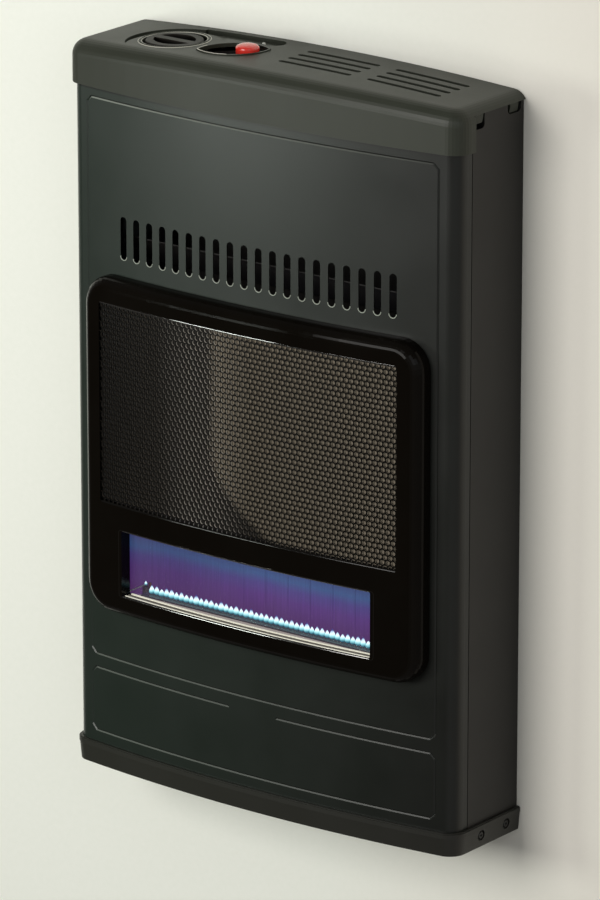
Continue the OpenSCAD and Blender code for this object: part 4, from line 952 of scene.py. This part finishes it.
@dataclass
class Grille:
    """The fine perforated sheet behind the bezel's opening, with the gauze behind it."""

    pitch: float = 5.5
    hole_r: float = 2.2
    sides: int = 12
    columns: int = 62
    rows: int = 40
    thickness: float = 0.8
    out: float = 16.8
    middle_z: float = 360.5
    weld: float = 0.02
    gauze_gap: float = 2.2
    gauze_cells: int = 32

    def _cell(self, bm: bmesh.types.BMesh) -> None:
        """One hexagonal cell with its round hole, flat in X and Z.

        Args:
            bm: The shape it starts.
        """
        hole, rim = (bmesh.ops.create_circle(bm, segments=self.sides, radius=radius,
                                             matrix=UPRIGHT)["verts"]
                     for radius in (self.hole_r, self.pitch / 2))
        for vert in rim:
            angle = math.atan2(vert.co.z, vert.co.x)
            if round(angle / (math.tau / self.sides)) % 2:
                vert.co *= 2 / math.sqrt(3)
        edges = list({edge for vert in hole + rim for edge in vert.link_edges})
        bmesh.ops.bridge_loops(bm, edges=edges)

    def _repeat(self, bm: bmesh.types.BMesh, count: int, step: Callable[[int], Vector]) -> None:
        """Copies what is there.

        Args:
            bm: The shape.
            count: How many there are at the end.
            step: Gives the shift of each copy.
        """
        first = bm.verts[:] + bm.edges[:] + bm.faces[:]
        for index in range(1, count):
            copy = bmesh.ops.duplicate(bm, geom=first)["geom"]
            verts = [g for g in copy if isinstance(g, bmesh.types.BMVert)]
            bmesh.ops.translate(bm, verts=verts, vec=step(index))

    def build(self) -> bpy.types.Object:
        """Builds the sheet and bends it to the bezel's bow.

        Returns:
            The sheet.
        """
        bm = bmesh.new()
        row = self.pitch * math.sqrt(3) / 2
        self._cell(bm)
        self._repeat(bm, self.columns, lambda i: Vector((i * self.pitch, 0, 0)))
        self._repeat(bm, self.rows, lambda j: Vector((j % 2 * self.pitch / 2, 0, j * row)))
        bmesh.ops.remove_doubles(bm, verts=bm.verts, dist=self.weld)
        bmesh.ops.recalc_face_normals(bm, faces=bm.faces)
        bmesh.ops.solidify(bm, geom=bm.faces[:], thickness=self.thickness)
        width = (self.columns - 0.5) * self.pitch
        height = (self.rows - 1) * row
        front = min(vert.co.y for vert in bm.verts)
        for vert in bm.verts:
            x = vert.co.x - width / 2 + self.pitch / 4
            z = vert.co.z - height / 2 + self.middle_z
            vert.co = on_bow(x, self.out - (vert.co.y - front), z)
        piece = finished(bm, "fine_grille", PerforatedSheet(), "cabinet",
                         smooth=False)
        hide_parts("grille")
        self._gauze(width, height)
        return piece

    def _gauze(self, width: float, height: float) -> None:
        """Builds the gauze behind the sheet.

        Args:
            width: Its width.
            height: Its height.
        """
        bm = bmesh.new()
        bmesh.ops.create_grid(bm, x_segments=self.gauze_cells, y_segments=1, size=0.5)
        for vert in bm.verts:
            vert.co = on_bow(vert.co.x * width, self.out - self.gauze_gap,
                             self.middle_z + vert.co.y * height)
        finished(bm, "grille_gauze", Gauze(), "cabinet")


@dataclass
class Edging:
    """Fine rounded edge round an opening of the bezel."""

    name: str
    width: float
    height: float
    middle_z: float
    finish: Finish = BEZEL_EDGE
    corner: float = 3.0
    inset: float = 0.3
    out: float = 16.5
    radius: float = 1.5
    steps: int = 36
    cuts: int = 40
    longest_step: float = 20.0

    def build(self) -> None:
        """Spins a ring, opens it to the opening's outline and bends it to the bow."""
        bm = bmesh.new()
        half_step = Matrix.Rotation(math.pi / self.steps, 4, "Y")
        start = half_step @ Matrix.Translation((self.corner, 0, 0))
        swept(bm, self.radius, segments=12, start=start, axis=(0, 1, 0), sweep=math.tau,
              steps=self.steps)
        shift = self.corner + self.inset
        for vert in bm.verts:
            vert.co.x += math.copysign(self.width / 2 - shift, vert.co.x)
            vert.co.z += math.copysign(self.height / 2 - shift, vert.co.z)
        sides = [edge for edge in bm.edges if edge.calc_length() > self.longest_step]
        bmesh.ops.subdivide_edges(bm, edges=sides, cuts=self.cuts, use_grid_fill=True)
        for vert in bm.verts:
            vert.co = on_bow(vert.co.x, self.out - vert.co.y, self.middle_z + vert.co.z)
        finished(bm, self.name, self.finish, "cabinet")


@dataclass
class SlotHighlightRims:
    """Pale half rings round the lower ends of the front panel's slots, a painted highlight where
    light catches them.
    """

    count: int = 20
    pitch: float = 16.0
    half_w: float = 3.9
    low_z: float = 497.05
    radius: float = 0.45
    out: float = 0.1
    steps: int = 14

    def build(self) -> None:
        """Spins a half ring and repeats it along the bow."""
        bm = bmesh.new()
        start = Matrix.Translation((self.half_w, 0, 0))
        for index in range(self.count):
            shift = (index - (self.count - 1) / 2) * self.pitch
            new = swept(bm, self.radius, segments=8, start=start, axis=(0, 1, 0), sweep=math.pi,
                        steps=self.steps)
            for vert in new:
                vert.co = on_bow(vert.co.x + shift, self.out - vert.co.y, self.low_z + vert.co.z)
        finished(bm, "slot_highlight_rims", SLOT_HIGHLIGHT, "cabinet")


# Outline of one flame, as shares of its radius and of its height
TONGUE = ((0.0, 0.0), (0.62, 0.02), (1.0, 0.22), (0.86, 0.45), (0.5, 0.72), (0.2, 0.9), (0.0, 1.0))


@dataclass
class Burner:
    """The flames on the burner's ports and the pilot's flame."""

    ports: int = 50
    pitch: float = 5.8
    y: float = -78.0
    foot_z: float = 170.6
    height: float = 8.4
    radius: float = 2.7
    pilot_at: tuple = (-159.0, -65.8)
    pilot_up: float = 1.5
    pilot_r: float = 1.3
    pilot_height: float = 4.5

    def _tongue(self, bm: bmesh.types.BMesh, x: float, y: float, z: float,
                radius: float, height: float) -> None:
        """One flame: a spun drop.

        Args:
            bm: The shape it joins.
            x: Place across.
            y: Place in depth.
            z: Foot's height over the tray.
            radius: Widest radius.
            height: Height.
        """
        verts = [bm.verts.new(place(x + r * radius, y, z + h * height)) for r, h in TONGUE]
        edges = [bm.edges.new(pair) for pair in zip(verts, verts[1:])]
        bmesh.ops.spin(bm, geom=verts + edges, cent=place(x, y, z), axis=(0, 0, 1),
                       angle=math.tau, steps=10, use_merge=True)

    def build(self) -> None:
        """Builds the row of uneven flames and the pilot."""
        bm = bmesh.new()
        for index in range(self.ports):
            x = (index - (self.ports - 1) / 2) * self.pitch
            tall = 1.0 + 0.14 * math.sin(index * 2.3) + 0.07 * math.sin(index * 5.1)
            wide = 1.0 + 0.1 * math.sin(index * 3.7)
            self._tongue(bm, x, self.y, self.foot_z, self.radius * wide, self.height * tall)
        gas = Flame("flame_gas", self.foot_z, self.height)
        finished(bm, "flames", gas, "cabinet")
        bm = bmesh.new()
        foot = self.foot_z + self.pilot_up
        self._tongue(bm, *self.pilot_at, foot, self.pilot_r, self.pilot_height)
        pilot = Flame("flame_pilot", foot, self.pilot_height)
        finished(bm, "pilot_flame", pilot, "cabinet")


@dataclass
class CapTrim:
    """Thin pale rims, painted highlights on the lips of the knob's well and the pointed opening,
    and the white mark.
    """

    knob_at: tuple = (-129.0, -56.0)
    ring_r: tuple = (29.9, 33.0)
    ring_wire: float = 0.42
    ring_up: float = 0.15
    lens_at: tuple = (-60.0, -58.5)
    lens_r: float = 34.8
    lens_shift: float = 12.33
    lens_turn: float = 33.0
    lens_sweep: tuple = (62.0, 24.0)
    lens_wire: float = 0.38
    lens_up: float = 1.0
    dot_at: tuple = (-56.2, -19.5)
    dot_r: float = 1.8
    dot_taper: float = 0.8
    dot_depth: float = 2.2
    dot_down: float = 2.3

    def _crown(self, x: float) -> float:
        """Height of the cap's crown at a place across."""
        return TOP_Z - CROWN_R + math.sqrt(CROWN_R ** 2 - x * x)

    def _arc(self, bm: bmesh.types.BMesh, middle: tuple, radius: float, start: float,
             sweep: float, wire: float, up: float) -> None:
        """One wire along an arc on the crown.

        Args:
            bm: The shape it joins.
            middle: The arc's centre.
            radius: Its radius.
            start: Where it starts, in degrees.
            sweep: How far it goes, in degrees.
            wire: The wire's radius.
            up: Its height over the crown.
        """
        first = Matrix.Rotation(math.radians(start), 4, "Z") @ Matrix.Translation((radius, 0, 0))
        new = swept(bm, wire, segments=8, start=first @ UPRIGHT, axis=(0, 0, 1),
                    sweep=math.radians(sweep), steps=max(8, int(sweep / 4)))
        for vert in new:
            x = middle[0] + vert.co.x
            vert.co = place(x, middle[1] + vert.co.y, self._crown(x) + vert.co.z + up)

    def build(self) -> None:
        """Builds the rims and the mark."""
        bm = bmesh.new()
        for radius in self.ring_r:
            self._arc(bm, self.knob_at, radius, start=0.0, sweep=360.0, wire=self.ring_wire,
                      up=self.ring_up)
        finished(bm, "well_rim_highlight", RIM_HIGHLIGHT, "cabinet")
        bm = bmesh.new()
        turn = math.radians(self.lens_turn)
        tip = math.degrees(math.asin(self.lens_shift / self.lens_r))
        near, far = self.lens_sweep
        for side, start, sweep in ((1, 180.0 + tip, near), (-1, 180.0 - tip - far, far)):
            shift = side * self.lens_shift
            middle = (self.lens_at[0] - shift * math.sin(turn),
                      self.lens_at[1] + shift * math.cos(turn))
            self._arc(bm, middle, self.lens_r, start=start + self.lens_turn, sweep=sweep,
                      wire=self.lens_wire, up=self.lens_up)
        finished(bm, "opening_rim_highlight", RIM_HIGHLIGHT, "cabinet")
        bm = bmesh.new()
        x, y = self.dot_at
        at = Matrix.Translation(place(x, y, self._crown(x) - self.dot_down))
        bmesh.ops.create_cone(bm, cap_ends=True, segments=32, radius1=self.dot_r * MM,
                              radius2=self.dot_taper * self.dot_r * MM,
                              depth=self.dot_depth * MM, matrix=at)
        finished(bm, "white_mark", DOT_PAINT, "cabinet", smooth=False)


@dataclass
class Studio:
    """Wall, lamps and camera."""

    azimuth: float = 37.60
    elevation: float = 17.49
    distance: float = 6.054
    lens: float = 268.8
    target: tuple = (16.0, -60.0, 335.1)
    dark_way: tuple = (-0.61, -0.77, -0.18)
    dark: Colour = (0.04, 0.036, 0.032)
    ground: Colour = (0.26, 0.25, 0.24)
    haze: Colour = (0.46, 0.47, 0.46)
    zenith: Colour = (0.14, 0.14, 0.14)
    wall_half: float = 4.0
    wall_gap: float = 0.0008
    opening: tuple = (0.213, 0.332)

    def _paint(self) -> bpy.types.Material:
        """Wall paint, with painted shade that makes it darker and warmer towards the right, and
        see-through from its back.

        Returns:
            The material.
        """
        graph = Graph("wall_paint")
        skin = graph.noise(180.0, 3.0)
        # Painted shade: darker and warmer towards the right
        share = graph.ramp(graph.axis("X"), (0.0, 0.6), (0.0, 1.0))
        white = graph.mix(skin, srgb(246, 248, 239), srgb(251, 252, 244))
        paint = graph.sock("ShaderNodeBsdfPrincipled", {}, {
            "Base Color": graph.mix(share, white, srgb(236, 225, 214)),
            "Roughness": 0.9,
            "Normal": graph.bump(skin, 0.15)})
        clear = graph.sock("ShaderNodeBsdfTransparent")
        back = graph.sock("ShaderNodeNewGeometry", output="Backfacing")
        graph.node("ShaderNodeOutputMaterial", {}, {
            "Surface": graph.sock("ShaderNodeMixShader", {}, {0: back, 1: paint, 2: clear})})
        return graph.material

    def _wall(self) -> None:
        """The pale wall, open where the heater covers it."""
        bm = bmesh.new()
        bmesh.ops.create_grid(bm, x_segments=3, y_segments=3, size=self.wall_half,
                              matrix=Matrix.Translation((0, self.wall_gap, 0)) @ UPRIGHT)
        for vert in bm.verts:
            if abs(vert.co.x) < self.wall_half / 2:
                vert.co.x = math.copysign(self.opening[0], vert.co.x)
            if abs(vert.co.z) < self.wall_half / 2:
                vert.co.z = math.copysign(self.opening[1], vert.co.z)
        middle = min(bm.faces, key=lambda face: face.calc_center_median().length)
        bmesh.ops.delete(bm, geom=[middle], context="FACES")
        wall = linked(bm, "wall", self._paint())

    def _lamp(self, name: str, at: tuple, size: float, power: float, colour: Colour) -> None:
        """A square soft lamp that faces the heater.

        Args:
            name: The lamp's name.
            at: Its place in metres.
            size: Its side in metres.
            power: Its power in watts.
            colour: Its colour.
        """
        data = bpy.data.lights.new(name, "AREA")
        data.size = size
        data.energy = power
        data.color = colour
        lamp = bpy.data.objects.new(name, data)
        lamp.location = at
        lamp.rotation_mode = "QUATERNION"
        lamp.rotation_quaternion = (Vector((0, 0, 0)) - lamp.location).to_track_quat("-Z", "Y")
        bpy.context.scene.collection.objects.link(lamp)

    def _world(self) -> None:
        """A pale room, darker overhead and darkest low at the left, for the gloss parts."""
        world = bpy.data.worlds.new("surroundings")
        bpy.context.scene.world = world
        graph = Graph("surroundings", world)
        way = graph.sock("ShaderNodeTexCoord", output="Generated")
        up = graph.axis("Z", way)
        room = graph.bands(up * 0.5 + 0.5, [
            (0.0, self.ground), (0.35, self.ground), (0.5, self.haze), (0.62, self.haze),
            (0.8, self.zenith), (1.0, self.zenith)])
        share = graph.ramp(graph.dot(way, self.dark_way), (0.5, 0.86), (0.0, 1.0))
        graph.node("ShaderNodeOutputWorld", {}, {
            "Surface": graph.sock("ShaderNodeBackground", {}, {
                "Color": graph.mix(share, room, self.dark), "Strength": 1.0})})

    def _camera(self) -> None:
        """The camera of the photograph."""
        data = bpy.data.cameras.new("camera")
        data.sensor_width = 36.0
        data.lens = self.lens
        data.clip_end = 50.0
        camera = bpy.data.objects.new("camera", data)
        azimuth, elevation = math.radians(self.azimuth), math.radians(self.elevation)
        flat = math.cos(elevation)
        back = Vector((math.sin(azimuth) * flat, -math.cos(azimuth) * flat, math.sin(elevation)))
        camera.location = place(*self.target) + back * self.distance
        camera.rotation_mode = "QUATERNION"
        camera.rotation_quaternion = (-back).to_track_quat("-Z", "Y")
        bpy.context.scene.collection.objects.link(camera)
        bpy.context.scene.camera = camera

    def build(self) -> None:
        """Sets the stage."""
        self._wall()
        self._world()
        self._lamp("key", at=(-0.5, -2.5, 0.8), size=1.4, power=40.0, colour=(1.0, 0.98, 0.94))
        self._lamp("fill", at=(2.4, -2.0, 1.2), size=1.6, power=8.0, colour=(0.9, 0.95, 1.0))
        self._lamp("strip", at=(-1.2, -1.65, 0.1), size=0.4, power=9.0, colour=(0.94, 1.0, 0.92))
        self._camera()
        bpy.context.scene.view_settings.view_transform = "Standard"


def main() -> None:
    """Builds the heater's looks."""
    logging.basicConfig(level=logging.INFO, format="%(name)s: %(message)s")
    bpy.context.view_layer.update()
    solids = Solids()
    solids.dress()
    LOG.info("solids: %d faces", solids.faces)
    grille = Grille().build()
    LOG.info("grille: %d faces", len(grille.data.polygons))
    Edging("grille_edge", width=345.0, height=191.0, middle_z=360.5, finish=GRILLE_EDGE).build()
    Edging("window_edge", width=292.0, height=65.0, middle_z=211.0).build()
    LOG.info("edges built")
    SlotHighlightRims().build()
    LOG.info("slot rims built")
    Burner().build()
    LOG.info("flames built")
    CapTrim().build()
    LOG.info("cap trim built")
    Studio().build()


if __name__ == "__main__":
    main()
